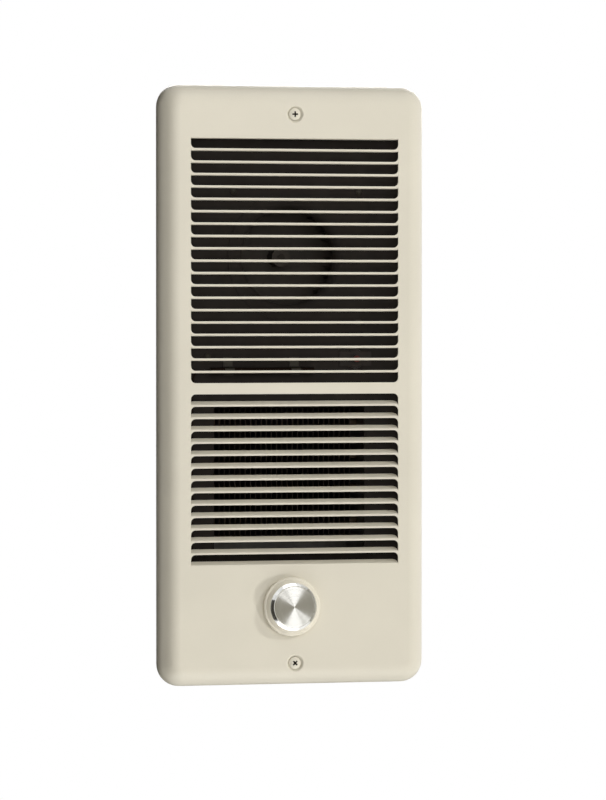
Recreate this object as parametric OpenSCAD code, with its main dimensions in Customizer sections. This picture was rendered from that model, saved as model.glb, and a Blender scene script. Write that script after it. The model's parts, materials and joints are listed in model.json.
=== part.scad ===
// Recessed bathroom wall fan heater, in millimetres.
// The origin is the centre of the cover's rear rim. The finished wall is the plane y = 0, the room is on
// the -y side, +x is to the right as seen from the room, and +z is up.
// Every piece is drawn lying on the wall, with x to the right, y up and z out into the room, and on_wall()
// stands it up. A "depth" is measured behind the wall, and a "front" before it.

/* [Cover] */
// Width of the cover
cover_w = 232; // [226:1:250]
// Height of the cover
cover_h = 505; // [496:1:540]
// How far the cover stands out from the wall
cover_d = 19; // [18.5:0.5:24]
// Thickness of the cover's steel
cover_sheet = 1; // [0.8:0.1:1.2]
// Radius of the quarter-round edge
edge_r = 16.5; // [8:0.5:17]
// Radius of the corners, seen from the front
corner_r = 19; // [18:0.5:22]

/* [Louvres] */
// Width of a slot
slot_w = 181.5; // [150:0.5:186]
// Height of a slot
slot_h = 8.4; // [7:0.1:8.8]
// Height of the strip between two slots
strip_h = 1.95; // [1.8:0.05:2.6]
// Height of the plain band between the two groups
divider_h = 9.4; // [6:0.1:14]
// Number of intake slots
intake_slots = 20; // [12:1:20]
// Number of outlet slots
outlet_slots = 14; // [8:1:14]
// Height of the first slot's top edge above the middle of the cover
first_slot_top = 207.2; // [200:0.1:212]
// Angle by which an intake flap is bent in
intake_bend = 88; // [60:1:90]
// Angle by which an outlet flap is bent in
outlet_bend = 71; // [50:1:85]
// Outer radius of a flap's bend
bend_r = 1.3; // [1.25:0.05:1.6]
// Radius of the two round corners of a flap and its slot
slot_corner_r = 4; // [1:0.5:4.5]
// Shear gap at each end of a flap
flap_relief = 0.3; // [0.2:0.05:0.5]

/* [Cover screws] */
// Height of the top screw above the middle
top_screw_y = 229; // [222:0.5:231]
// Distance of the bottom screw below the middle
bottom_screw_y = 234; // [224:0.5:235]
// Diameter of the dimple that takes the screw head
dimple_d = 14; // [12:0.5:16]
// Depth of the dimple
dimple_depth = 2.5; // [1.5:0.1:3]
// Diameter of a cover screw's head
cover_head_d = 9.8; // [8:0.1:10]
// Diameter of a cover screw
cover_screw_d = 4; // [3.5:0.1:4.5]
// Length of a cover screw under its head
cover_screw_l = 13; // [8:1:14]

/* [Knob] */
// Place of the knob, to the left of the middle
knob_left = 3.8; // [0:0.1:12]
// Distance of the knob below the middle
knob_below = 186.2; // [184:0.1:192]
// Diameter of the knob's skirt
knob_d = 49.5; // [45:0.5:54]
// Gap between the cover and the knob
knob_gap = 0.6; // [0.4:0.1:1.5]
// Height of the skirt's round edge
skirt_h = 5; // [3:0.5:6]
// Distance from the knob's back to the foot of its metal cap
cap_foot = 7.5; // [7:0.5:12]
// Outer diameter of the metal cap
cap_d = 41.5; // [38:0.5:42.5]
// Diameter of the cap's flat face
cap_face_d = 33; // [28:0.5:36]
// Height of the cap's bevelled rim
cap_rise = 3.2; // [2:0.1:6]
// Thickness of the cap's aluminium
cap_sheet = 0.8; // [0.5:0.1:1]
// Wall of the knob
knob_wall = 1.8; // [1.4:0.1:2.2]

/* [Wall box] */
// Width of the wall box
box_w = 184; // [184:1:194]
// Height of the wall box
box_h = 476; // [474:1:484]
// Depth of the wall box
box_d = 84; // [84:1:100]
// Thickness of the wall box's galvanised steel
box_sheet = 0.9; // [0.8:0.1:1.2]
// Width of the wall box's front lip
box_lip = 11; // [9.5:0.5:11]
// Diameter of the holes for screws into the studs
stud_hole_d = 5.2; // [4:0.1:6.5]
// Height of the stud holes above and below the middle
stud_hole_y = 190; // [170:1:200]
// Depth of the first row of stud holes
stud_hole_near = 20; // [12:1:30]
// Depth of the second row of stud holes
stud_hole_far = 66; // [50:1:72]
// Diameter of the cable entry and of the knockouts
entry_d = 22.2; // [20:0.1:25]
// Distance of the cable entry and the knockouts from the middle
entry_x = 45; // [35:1:55]
// Depth of the cable entry's middle
entry_depth = 30; // [20:1:40]

/* [Chassis] */
// Width of the chassis plate
chassis_w = 200; // [196:1:206]
// Height of the chassis plate
chassis_h = 468; // [464:1:472]
// Thickness of the chassis plate
chassis_sheet = 1.2; // [1:0.1:1.5]
// Distance of the chassis screws from the middle, sideways
chassis_screw_x = 86.5; // [86:0.5:87]
// Distance of the chassis screws from the middle, up and down
chassis_screw_y = 214; // [205:1:216]
// Diameter of the chassis screws
chassis_screw_d = 3.5; // [3:0.1:4]
// Width of the outlet window
window_w = 132; // [110:1:134]
// Top of the outlet window, below the middle
window_top = 14; // [10:1:20]
// Bottom of the outlet window, below the middle
window_bottom = 139; // [134:1:140]
// Width of a cover bracket
bracket_w = 30; // [24:1:40]

/* [Blower] */
// Height of the blower's axis above the middle
blower_y = 108; // [104:1:112]
// Diameter of the blower wheel
wheel_d = 104; // [98:1:108]
// Width of the blower wheel
wheel_w = 31; // [26:0.5:31.5]
// Number of blades
blade_count = 36; // [24:1:40]
// Length of a blade from root to tip
blade_l = 9; // [7:0.5:10]
// Thickness of a blade
blade_t = 0.6; // [0.5:0.1:0.8]
// Gap between the chassis and the blower wheel
wheel_front_gap = 9.5; // [9:0.5:11]
// Diameter of the air inlet's throat
inlet_d = 80; // [70:1:82]
// Radius of the inlet's bell mouth
inlet_bell_r = 8; // [6:0.5:8.5]
// Radius of the scroll
scroll_r = 74; // [68:0.5:75]
// Offset of the scroll from the wheel's axis
scroll_offset = 6; // [4:0.5:8]
// Depth of the scroll
scroll_depth = 46.5; // [46:0.5:47.5]
// Left side of the scroll's outlet, from the middle
outlet_left = 67.6; // [66:0.1:67.8]
// Right side of the scroll's outlet, from the middle
outlet_right = 20; // [10:1:30]
// Thickness of the ducts' steel
duct_sheet = 0.8; // [0.6:0.1:1]

/* [Motor] */
// Diameter of the motor shaft
shaft_d = 6; // [5:0.1:6.4]
// Diameter of the rotor
rotor_d = 29.8; // [26:0.1:30]
// Air gap between the rotor and the stator
air_gap = 0.4; // [0.3:0.05:0.6]
// Thickness of the lamination stack
stack_t = 14; // [12:0.5:15]
// Width of the lamination stack
stack_w = 62; // [60:0.5:66]
// Distance from the scroll's back to the motor's front bracket
grommet_t = 2.4; // [1.6:0.1:3]
// Thickness of a motor bracket's bar
bar_t = 3; // [2.6:0.1:3.6]
// Height of a bracket's feet between its bar and the stack
bar_foot = 4.5; // [4.1:0.1:5]
// Outer diameter of a sleeve bearing
bearing_d = 13; // [11:0.5:14]
// Length of a sleeve bearing
bearing_l = 7; // [5.5:0.5:7]
// Half the distance between the motor's two screws
motor_screw_x = 25; // [24:0.1:26]

/* [Heating element] */
// Diameter of the heating tube
tube_d = 8; // [6.5:0.1:9]
// Distance between two runs of the tube
run_pitch = 28; // [26:0.5:28]
// Height of the first run, below the middle
first_run_below = 32; // [30:0.5:34]
// Depth of the heating tube
element_depth = 30; // [26:0.5:34]
// Number of fins
fin_count = 26; // [12:1:27]
// Distance between two fins
fin_pitch = 4.6; // [4:0.1:4.8]
// Thickness of a fin
fin_t = 0.5; // [0.4:0.1:0.6]
// Depth of a fin, from front to back
fin_depth = 32; // [24:1:36]
// Depth of the heat duct
heat_duct_depth = 60; // [58:1:62]

/* [Thermostat and limit switch] */
// Width of the thermostat's body
stat_w = 44; // [38:1:46]
// Height of the thermostat's body
stat_h = 34; // [28:1:34]
// Depth of the thermostat's body
stat_depth = 26; // [22:1:28]
// How far the thermostat bracket stands out from the wall
stat_front = 12.2; // [11:0.1:13]
// Diameter of the thermostat's shaft
stem_d = 6; // [5:0.1:6.4]
// Diameter of the threaded bush round the shaft
bush_d = 10; // [9:0.5:11]
// Diameter of the sensing bulb
bulb_d = 6; // [5:0.1:6.5]
// Length of the sensing bulb
bulb_l = 90; // [70:1:100]
// Height of the sensing bulb above the middle
bulb_y = 12; // [10:0.5:16]
// Diameter of the capillary tube
capillary_d = 1.8; // [1.6:0.1:2.4]
// Sideways place of the limit switch
limit_x = 58; // [54:1:62]
// Height of the limit switch above the middle
limit_y = 22; // [20:0.5:26]
// Diameter of the limit switch's body
limit_d = 16; // [14:0.5:18]
// Travel of the reset button
reset_travel = 1.5; // [1:0.1:2]

/* [Wiring] */
// Diameter of a lead over its insulation
lead_d = 2.8; // [2.2:0.1:3]

/* [Hidden] */
$fn = 64;
slack = 0.1; // clearance round a screw or a pushed-in piece
running = 0.05; // clearance round a turning shaft
seat = 0.1; // the box and the chassis stand this far out of the wall, and only the cover's rim lies on it

// Cover
face_half_w = cover_w/2 - corner_r;
face_half_h = cover_h/2 - corner_r;
cover_back = cover_d - cover_sheet; // inside of the front face
slot_pitch = slot_h + strip_h;
outlet_top = first_slot_top - (intake_slots - 1)*slot_pitch - slot_h - divider_h;
flap_l = slot_h - bend_r;
bend_steps = 4; // flat facets of a flap's bend
dimple_floor = cover_d - dimple_depth; // front of the dimple's floor
dimple_taper = 1.4; // the dimple is this much narrower at its floor
knob_x = -knob_left;
knob_y = -knob_below;

// Wall box
box_x = box_w/2;
box_y = box_h/2;
inner_x = box_x - box_sheet;
inner_y = box_y - box_sheet;
inner_back = -(box_d - box_sheet);

// Chassis
plate_front = seat + chassis_sheet;
bracket_sheet = 1.2;
bracket_front = dimple_floor - cover_sheet; // a bracket's tab meets the back of the dimple
bracket_foot = 12;
bracket_inner = chassis_h/2 - 1 - bracket_foot;

// Blower and motor
wheel_back = -wheel_front_gap - wheel_w;
wheel_sheet = 0.8;
blade_margin = 0.6; // from the blade tips to the wheel's rim
blade_root_r = wheel_d/2 - blade_margin - blade_l;
hub_r = 8;
hub_l = 16;
scroll_back = -scroll_depth - duct_sheet;
duct_end = 5.2; // where the scroll's outlet meets the heat duct
bar_front = scroll_back - grommet_t;
stack_front = bar_front - bar_t - bar_foot;
stack_back = stack_front - stack_t;
bar_back = stack_back - bar_foot - bar_t;
motor_screw_r = 2;
nut_t = 3;
coil_bar = [34, 46]; // height of the lamination bar that carries the coil, above the axis
window_y = 19; // where the coil's window begins, above the axis
bobbin_wall = 1;
winding = 7; // thickness of the winding
bobbin_half_l = 15;
flange_t = 2;

// Heating element
run_count = 4;
run_z = -element_depth;
side_plate_t = 1;
side_plate_x = outlet_left; // inner face of each side plate
tube_straight = side_plate_x + side_plate_t + 3.4;
duct_bottom = -146;
element_screw_x = side_plate_x + side_plate_t + 5.4;
element_screw_ys = [-2, -142];
insulator_l = 8;
cold_end = tube_straight + 3; // where the heating tube's two ends stop

// Thermostat
stat_top = stat_front - bracket_sheet; // front of the thermostat's body
stat_leg_x = stat_w/2 + 9;
stat_foot_l = 10;
stat_screw_x = stat_leg_x + 6.5;
blade_terminal_l = 9;
stat_terminal_x = 12;
knob_back = cover_d + knob_gap;
bush_end = cover_back + 0.2;
stem_end = knob_back + cap_foot + 0.6;
limit_terminal_x = 5;
limit_depth = 14;

// A slab between two x, two y and two z values
module slab(x, y, z) {
  translate([x[0], y[0], z[0]]) cube([x[1] - x[0], y[1] - y[0], z[1] - z[0]]);
}
// A round bar square to the wall, at p, between two z values
module rod(p, r, z) {
  translate([p[0], p[1], z[0]]) cylinder(r = r, h = z[1] - z[0]);
}
// A round bar that lies sideways, between two x values
module rail(x, y, z, r) {
  translate([x[0], y, z]) rotate([0, 90, 0]) cylinder(r = r, h = x[1] - x[0]);
}
// Stands what is drawn on the wall upright
module on_wall() {
  rotate([90, 0, 0]) children();
}
module each_side() {
  children();
  mirror([1, 0, 0]) children();
}
// A tab with a straight foot and two round corners at its free end
module round_tab(w, l, r) {
  translate([-w/2, 0]) square([w, l - r]);
  translate([-w/2 + r, l - r]) square([w - 2*r, r]);
  for (s = [-1, 1])
    translate([s*(w/2 - r), l - r]) intersection() {
      circle(r);
      translate([s > 0 ? 0 : -r, 0]) square(r);
    }
}
// The small screw that holds sheet to sheet, with its head on z = top
module sheet_screw(p, top, r, length, head_r) {
  translate([p[0], p[1], top]) {
    difference() {
      intersection() {
        cylinder(r = head_r, h = head_r*0.7);
        translate([0, 0, -head_r*0.75]) sphere(r = head_r*1.35);
      }
      for (a = [0, 90])
        rotate([0, 0, a]) translate([-head_r*0.55, -head_r*0.12, head_r*0.25])
          cube([head_r*1.1, head_r*0.24, head_r]);
    }
    translate([0, 0, -length]) cylinder(r = r, h = length);
  }
}

// ---- Cover ----

// Section of the cover's edge: u outwards, v away from the wall
module edge_section() {
  translate([corner_r - cover_sheet, 0]) square([cover_sheet, cover_d - edge_r]);
  translate([corner_r - edge_r, cover_d - edge_r]) intersection() {
    difference() {
      circle(edge_r);
      circle(edge_r - cover_sheet);
    }
    square(edge_r + 1);
  }
  translate([0, cover_back]) square([corner_r - edge_r, cover_sheet]);
}
module cover_edges() {
  for (k = [0:3]) {
    along = k % 2 == 0 ? face_half_h : face_half_w;
    out = k % 2 == 0 ? face_half_w : face_half_h;
    rotate([0, 0, 90*k]) translate([out, 0, 0]) {
      rotate([90, 0, 0]) linear_extrude(2*along, center = true) edge_section();
      translate([0, along, 0]) rotate_extrude(angle = 90) edge_section();
    }
  }
}
// Points of an arc about the origin, with angles counted from the second axis towards the first
function arc(r, from, to) = [for (k = [0:bend_steps])
    let (a = from + (to - from)*k/bend_steps) [r*sin(a), r*cos(a)]];
// Section of a bent sheet: up, and out of the wall. It starts flat at the bend and runs on past its length
module bent_section(bend, length) {
  along = [cos(bend), -sin(bend)]*length;
  outer = arc(bend_r, 0, bend);
  inner = arc(bend_r - cover_sheet, bend, 0);
  polygon(concat(outer, [outer[bend_steps] + along, inner[0] + along], inner));
}
// One flap, hinged on the line y = 0 at the front face, that swings in from above that line
module flap(bend) {
  flap_w = slot_w - 2*flap_relief;
  reach = 2*bend_r; // how far the outline runs past the hinge
  translate([0, -bend_r, -bend_r]) intersection() {
    translate([-slot_w/2, 0, 0]) rotate([90, 0, 90]) linear_extrude(slot_w)
      bent_section(bend, flap_l + 1);
    rotate([-bend, 0, 0]) translate([0, -reach, -reach]) linear_extrude(2*reach)
      round_tab(flap_w, flap_l + reach, slot_corner_r);
  }
}
module intake_places() {
  for (i = [0:intake_slots - 1])
    translate([0, first_slot_top - i*slot_pitch, 0]) mirror([0, 1, 0]) children();
}
module outlet_places() {
  for (i = [0:outlet_slots - 1])
    translate([0, outlet_top - slot_h - i*slot_pitch, 0]) children();
}
module slot_opening() {
  translate([0, -bend_r]) round_tab(slot_w, slot_h + bend_r, slot_corner_r);
}
module cover_face() {
  translate([0, 0, cover_back]) linear_extrude(cover_sheet) difference() {
    square([2*face_half_w, 2*face_half_h], center = true);
    intake_places() slot_opening();
    outlet_places() slot_opening();
  }
}
module at_cover_screws() {
  for (y = [top_screw_y, -bottom_screw_y])
    translate([0, y, 0]) children();
}
module front_cover() {
  color("antiquewhite") on_wall() difference() {
    union() {
      cover_face();
      cover_edges();
      intake_places() translate([0, 0, cover_d]) flap(intake_bend);
      outlet_places() translate([0, 0, cover_d]) flap(outlet_bend);
      at_cover_screws() translate([0, 0, dimple_floor - cover_sheet])
        cylinder(r1 = dimple_d/2 - dimple_taper + 0.7, r2 = dimple_d/2 + 0.7, h = dimple_depth);
    }
    at_cover_screws() {
      translate([0, 0, dimple_floor])
        cylinder(r1 = dimple_d/2 - dimple_taper, r2 = dimple_d/2, h = dimple_depth);
      translate([0, 0, cover_d - 0.01]) cylinder(r = dimple_d/2, h = 1);
      rod([0, 0], cover_screw_d/2 + 0.4, [dimple_floor - 2*cover_sheet, cover_d]);
    }
    rod([knob_x, knob_y], bush_d/2 + 1.5, [cover_back - 1, cover_d + 1]);
  }
}
module cross_head(r, h, dome_r) {
  difference() {
    intersection() {
      cylinder(r = r, h = h);
      translate([0, 0, h - dome_r]) sphere(r = dome_r);
    }
    for (a = [0, 90])
      rotate([0, 0, a]) translate([-r*0.55, -r*0.13, h - 1.5]) cube([r*1.1, r*0.26, 2]);
  }
}
module cover_screws() {
  color("antiquewhite") on_wall()
    for (s = [[top_screw_y, 0], [-bottom_screw_y, 45]])
      translate([0, s[0], dimple_floor]) rotate([0, 0, s[1]]) {
        cross_head(cover_head_d/2, 2.7, 8);
        translate([0, 0, -cover_screw_l]) cylinder(r = cover_screw_d/2, h = cover_screw_l);
      }
}
// A channel with its foot on the chassis and its tab behind a dimple, reaching up to the screw
module cover_bracket(screw_y) {
  difference() {
    union() {
      slab([-bracket_w/2, bracket_w/2], [bracket_inner, bracket_inner + bracket_foot],
           [plate_front, plate_front + bracket_sheet]);
      slab([-bracket_w/2, bracket_w/2], [bracket_inner - bracket_sheet, bracket_inner],
           [plate_front, bracket_front]);
      slab([-bracket_w/2, bracket_w/2], [bracket_inner, screw_y + 7],
           [bracket_front - bracket_sheet, bracket_front]);
    }
    rod([0, screw_y], cover_screw_d/2 + slack, [bracket_front - 2, bracket_front + 1]);
  }
}
module cover_brackets() {
  color("silver") on_wall() {
    cover_bracket(top_screw_y);
    mirror([0, 1, 0]) cover_bracket(bottom_screw_y);
  }
}

// ---- Knob, drawn from its back at z = 0 ----

module at_knob() {
  on_wall() translate([knob_x, knob_y, knob_back]) children();
}
module knob() {
  top = cap_foot + cap_rise - cap_sheet;
  neck_r = cap_d/2 + 0.6;
  inner_r = cap_face_d/2 - knob_wall;
  color("ivory") at_knob() difference() {
    union() {
      rotate_extrude() difference() {
        union() {
          square([knob_d/2 - 1.5, skirt_h]);
          translate([0, 1.5]) square([knob_d/2, skirt_h - 3]);
          translate([knob_d/2 - 1.5, 1.5]) circle(1.5);
          translate([knob_d/2 - 1.5, skirt_h - 1.5]) circle(1.5);
          polygon([[0, skirt_h - 0.5], [knob_d/2 - 1.8, skirt_h - 0.5], [neck_r, cap_foot], [0, cap_foot]]);
          polygon([[0, cap_foot - 0.5], [cap_d/2 - cap_sheet, cap_foot - 0.5],
                   [cap_d/2 - cap_sheet, cap_foot], [cap_face_d/2, top], [0, top]]);
        }
        translate([-1, -1]) square([inner_r + 1, top - knob_wall + 1]);
        translate([-1, -1]) square([knob_d/2 - knob_wall + 1, 1 + skirt_h/2]);
      }
      cylinder(r = stem_d/2 + 3.5, h = top - knob_wall/2);
    }
    difference() {
      translate([0, 0, -1]) cylinder(r = stem_d/2 + running, h = stem_end - knob_back + 1.5);
      translate([stem_d/2 - 1.2 + running, -stem_d, -2]) cube([stem_d, 2*stem_d, 60]);
    }
  }
}
module knob_cap() {
  color("gainsboro") at_knob() rotate_extrude()
    polygon([[0, cap_foot + cap_rise - cap_sheet], [cap_face_d/2, cap_foot + cap_rise - cap_sheet],
             [cap_d/2 - cap_sheet, cap_foot], [cap_d/2, cap_foot],
             [cap_face_d/2 + 0.4, cap_foot + cap_rise], [0, cap_foot + cap_rise]]);
}
// Spring ring round the knob's hub
module knob_clip() {
  hub = stem_d/2 + 3.5;
  color("dimgray") at_knob() translate([0, 0, 1]) difference() {
    cylinder(r = hub + 0.9, h = 4);
    translate([0, 0, -1]) cylinder(r = hub + 0.02, h = 6);
    translate([-20, -2, -1]) cube([20, 4, 6]);
  }
}

// ---- Wall box ----

module stud_holes() {
  for (y = [-stud_hole_y, stud_hole_y], z = [stud_hole_near, stud_hole_far])
    rail([-box_x - 1, box_x + 1], y, -z, stud_hole_d/2);
}
module at_chassis_screws() {
  for (x = [-chassis_screw_x, chassis_screw_x], y = [-chassis_screw_y, chassis_screw_y])
    translate([x, y, 0]) children();
}
module wall_box_wrap() {
  color("lightgray") on_wall() difference() {
    union() {
      slab([-box_x, box_x], [-inner_y, inner_y], [-box_d, inner_back]);
      each_side() {
        slab([inner_x, box_x], [-inner_y, inner_y], [-box_d, seat]);
        slab([box_x - box_lip, box_x], [-inner_y, inner_y], [seat - box_sheet, seat]);
      }
    }
    stud_holes();
    at_chassis_screws() rod([0, 0], chassis_screw_d/2 + slack, [-2, 1]);
    rod(ground_place, ground_r + slack, [-box_d - 1, inner_back + 1]);
  }
}
// An end plate, drawn as the top one. It lies on the wrap, with a lip in front and a flange at the back
module end_plate() {
  difference() {
    union() {
      slab([-box_x, box_x], [inner_y, box_y], [-box_d, seat]);
      slab([-box_x + box_lip, box_x - box_lip], [box_y - box_lip, inner_y], [seat - box_sheet, seat]);
      slab([-box_x + box_lip, box_x - box_lip], [inner_y - 10, inner_y],
           [inner_back, inner_back + box_sheet]);
    }
    for (x = [-entry_x, entry_x])
      translate([x, inner_y - 1, -entry_depth]) rotate([-90, 0, 0])
        cylinder(d = entry_d, h = box_sheet + 2);
  }
}
module wall_box_top() {
  color("lightgray") on_wall() end_plate();
}
module wall_box_bottom() {
  color("lightgray") on_wall() mirror([0, 1, 0]) end_plate();
}
module knockout_disc(x, y) {
  translate([x, y, -entry_depth]) rotate([-90, 0, 0]) cylinder(r = entry_d/2 - slack, h = box_sheet);
}
// Three entries keep their discs, and the bottom left one is open
module knockout_discs() {
  color("silver") on_wall() {
    knockout_disc(-entry_x, inner_y);
    knockout_disc(entry_x, inner_y);
    knockout_disc(entry_x, -box_y);
  }
}
ground_place = [60, -208];
ground_r = 2;
ground_head = 2.6;
module ground_screw() {
  color("seagreen") on_wall() {
    difference() {
      rod(ground_place, 4.2, [inner_back, inner_back + ground_head]);
      translate([ground_place[0] - 4.5, ground_place[1] - 0.6, inner_back + 1.4]) cube([9, 1.2, 2]);
    }
    rod(ground_place, ground_r, [-box_d, inner_back]);
  }
}

// ---- Chassis ----

scroll_ears = [45, 135, 315];
duct_ear = [-outlet_left - 4, 24];
module at_scroll_ears() {
  for (a = scroll_ears)
    translate([scroll_offset, blower_y, 0]) rotate([0, 0, a]) translate([scroll_r + 4, 0, 0]) children();
  translate([duct_ear[0], duct_ear[1], 0]) children();
}
module at_element_screws() {
  for (x = [-element_screw_x, element_screw_x], y = element_screw_ys)
    translate([x, y, 0]) children();
}
module at_stat_screws() {
  for (s = [-1, 1])
    translate([knob_x + s*stat_screw_x, knob_y, 0]) children();
}
small_screw_r = 1.6;
module chassis_plate() {
  color("darkgray") on_wall() difference() {
    slab([-chassis_w/2, chassis_w/2], [-chassis_h/2, chassis_h/2], [seat, plate_front]);
    rod([0, blower_y], inlet_d/2 + inlet_bell_r + 0.3, [-1, plate_front + 1]);
    slab([-window_w/2, window_w/2], [-window_bottom, -window_top], [-1, plate_front + 1]);
    slab([knob_x - stat_w/2 - 1.5, knob_x + stat_w/2 + 1.5],
         [knob_y - stat_h/2 - 1.5, knob_y + stat_h/2 + 1.5], [-1, plate_front + 1]);
    rod([limit_x, limit_y], limit_d/2 + 0.3, [-1, plate_front + 1]);
    at_chassis_screws() rod([0, 0], chassis_screw_d/2 + slack, [-1, plate_front + 1]);
    at_scroll_ears() rod([0, 0], small_screw_r + slack, [-1, plate_front + 1]);
    at_element_screws() rod([0, 0], small_screw_r + slack, [-1, plate_front + 1]);
    at_stat_screws() rod([0, 0], small_screw_r + slack, [-1, plate_front + 1]);
  }
}
module chassis_screws() {
  color("silver") on_wall() {
    at_chassis_screws() sheet_screw([0, 0], plate_front, chassis_screw_d/2, 9, 3.6);
    at_scroll_ears() sheet_screw([0, 0], plate_front, small_screw_r, 5, 2.8);
  }
}

// ---- Blower ----

module blower_inlet_ring() {
  flange_front = plate_front + duct_sheet;
  color("gray") on_wall() translate([0, blower_y, 0]) rotate_extrude() {
    translate([inlet_d/2 + inlet_bell_r, plate_front]) square([6, duct_sheet]);
    translate([inlet_d/2 + inlet_bell_r, flange_front - inlet_bell_r]) intersection() {
      difference() {
        circle(inlet_bell_r);
        circle(inlet_bell_r - duct_sheet);
      }
      translate([-inlet_bell_r, 0]) square(inlet_bell_r);
    }
    translate([inlet_d/2, -wheel_front_gap + 2])
      square([duct_sheet, wheel_front_gap - 2 + flange_front - inlet_bell_r]);
  }
}
// Outline of the scroll and its outlet, drawn in by inset and opened at the outlet's end
module scroll_outline(inset, open = 0) {
  translate([scroll_offset, blower_y]) circle(scroll_r - inset);
  translate([-outlet_left + inset, duct_end - open])
    square([outlet_left + outlet_right - 2*inset, blower_y - duct_end + open]);
}
module blower_housing() {
  ear_t = 1;
  color("lightsteelblue") on_wall() difference() {
    union() {
      translate([0, 0, scroll_back]) linear_extrude(seat - scroll_back) scroll_outline(0);
      at_scroll_ears() rod([0, 0], 5.5, [seat - ear_t, seat]);
    }
    at_scroll_ears() rod([0, 0], small_screw_r + slack, [-ear_t - 1, 1]);
    translate([0, 0, -scroll_depth]) linear_extrude(scroll_depth + 1) scroll_outline(duct_sheet, 1);
    rod([0, blower_y], bearing_d/2 + 3.5, [scroll_back - 1, -scroll_depth + 1]);
    for (s = [-1, 1])
      rod([s*motor_screw_x, blower_y], motor_screw_r + slack, [scroll_back - 1, -scroll_depth + 1]);
  }
}
module blade() {
  sag = blade_l*0.26;
  r = blade_l*blade_l/(8*sag) + sag/2;
  half = asin(blade_l/(2*r));
  translate([blade_root_r + blade_l/2, r - sag]) intersection() {
    difference() {
      circle(r);
      circle(r - blade_t);
    }
    polygon([[0, 0], [-3*r*sin(half), -3*r*cos(half)], [3*r*sin(half), -3*r*cos(half)]]);
  }
}
module blower_wheel() {
  color("dimgray") on_wall() translate([0, blower_y, 0]) difference() {
    union() {
      translate([0, 0, wheel_back]) rotate_extrude()
        polygon([[shaft_d/2 + 0.02, 0], [wheel_d/2, 0], [wheel_d/2, wheel_sheet], [hub_r, wheel_sheet],
                 [hub_r, hub_l], [shaft_d/2 + 0.02, hub_l]]);
      translate([0, 0, -wheel_front_gap - wheel_sheet]) linear_extrude(wheel_sheet) difference() {
        circle(wheel_d/2);
        circle(blade_root_r - 0.5);
      }
      for (k = [0:blade_count - 1])
        rotate([0, 0, 360*k/blade_count]) translate([0, 0, wheel_back + wheel_sheet/2])
          linear_extrude(wheel_w - wheel_sheet) blade();
    }
    translate([0, 0, wheel_back + hub_l*0.6]) rotate([0, 90, 0]) cylinder(r = 1.55, h = hub_r + 1);
  }
}
module wheel_set_screw() {
  color("black") on_wall()
    rail([shaft_d/2 + running, hub_r - 0.2], blower_y, wheel_back + hub_l*0.6, 1.5);
}

// ---- Motor ----

module motor_shaft() {
  color("silver") on_wall() rod([0, blower_y], shaft_d/2, [bar_back, wheel_back + hub_l + 1]);
}
module motor_rotor() {
  color("slategray") on_wall() difference() {
    rod([0, blower_y], rotor_d/2, [stack_back, stack_front]);
    rod([0, blower_y], shaft_d/2 + 0.02, [stack_back - 1, stack_front + 1]);
  }
}
module at_motor_screws() {
  for (s = [-1, 1])
    translate([s*motor_screw_x, blower_y, 0]) children();
}
module motor_stator() {
  color("slategray") on_wall() difference() {
    slab([-stack_w/2, stack_w/2], [blower_y - 20, blower_y + coil_bar[1]], [stack_back, stack_front]);
    rod([0, blower_y], rotor_d/2 + air_gap, [stack_back - 1, stack_front + 1]);
    slab([-bobbin_half_l - flange_t - 1, bobbin_half_l + flange_t + 1],
         [blower_y + window_y, blower_y + coil_bar[0]], [stack_back - 1, stack_front + 1]);
    at_motor_screws() rod([0, 0], motor_screw_r + slack, [stack_back - 1, stack_front + 1]);
  }
}
// A square tube round the coil's lamination bar: from one wall to another, measured outwards from the bar
module coil_tube(inner, outer, x) {
  difference() {
    slab(x, [blower_y + coil_bar[0] - outer, blower_y + coil_bar[1] + outer],
         [stack_back - outer, stack_front + outer]);
    slab([x[0] - 1, x[1] + 1], [blower_y + coil_bar[0] - inner, blower_y + coil_bar[1] + inner],
         [stack_back - inner, stack_front + inner]);
  }
}
module motor_bobbin() {
  flange_out = slack + bobbin_wall + winding + 0.6;
  color("white") on_wall() {
    coil_tube(slack, slack + bobbin_wall, [-bobbin_half_l, bobbin_half_l]);
    each_side() coil_tube(slack, flange_out, [bobbin_half_l, bobbin_half_l + flange_t]);
  }
}
module motor_coil() {
  color("peru") on_wall()
    coil_tube(slack + bobbin_wall, slack + bobbin_wall + winding, [-bobbin_half_l, bobbin_half_l]);
}
// One bearing bracket, drawn from the outer face of its bar towards the stack
module bearing_bracket() {
  difference() {
    union() {
      slab([-stack_w/2, stack_w/2], [-8, 8], [-bar_t, 0]);
      rod([0, 0], bearing_d/2 + 2.5, [-bearing_l, 0]);
      for (s = [-1, 1])
        rod([s*motor_screw_x, 0], 4.5, [-bar_t - bar_foot, 0]);
    }
    rod([0, 0], bearing_d/2 + 0.02, [-bearing_l - 1, 1]);
    for (s = [-1, 1])
      rod([s*motor_screw_x, 0], motor_screw_r + slack, [-bar_t - bar_foot - 1, 1]);
  }
}
module motor_brackets() {
  color("gainsboro") on_wall() translate([0, blower_y, 0]) {
    translate([0, 0, bar_front]) bearing_bracket();
    translate([0, 0, bar_back]) mirror([0, 0, 1]) bearing_bracket();
  }
}
module motor_bearings() {
  color("goldenrod") on_wall()
    for (z = [bar_front - bearing_l, bar_back])
      difference() {
        rod([0, blower_y], bearing_d/2, [z, z + bearing_l]);
        rod([0, blower_y], shaft_d/2 + running, [z - 1, z + bearing_l + 1]);
      }
}
module motor_grommets() {
  color("black") on_wall() at_motor_screws() difference() {
    rod([0, 0], 6, [bar_front, scroll_back]);
    rod([0, 0], motor_screw_r + slack, [bar_front - 1, scroll_back + 1]);
  }
}
module motor_screws() {
  color("silver") on_wall() at_motor_screws() {
    rod([0, 0], motor_screw_r, [bar_back, -scroll_depth + nut_t + 0.3]);
    rod([0, 0], 3.6, [bar_back - 2.2, bar_back]);
  }
}
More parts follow.
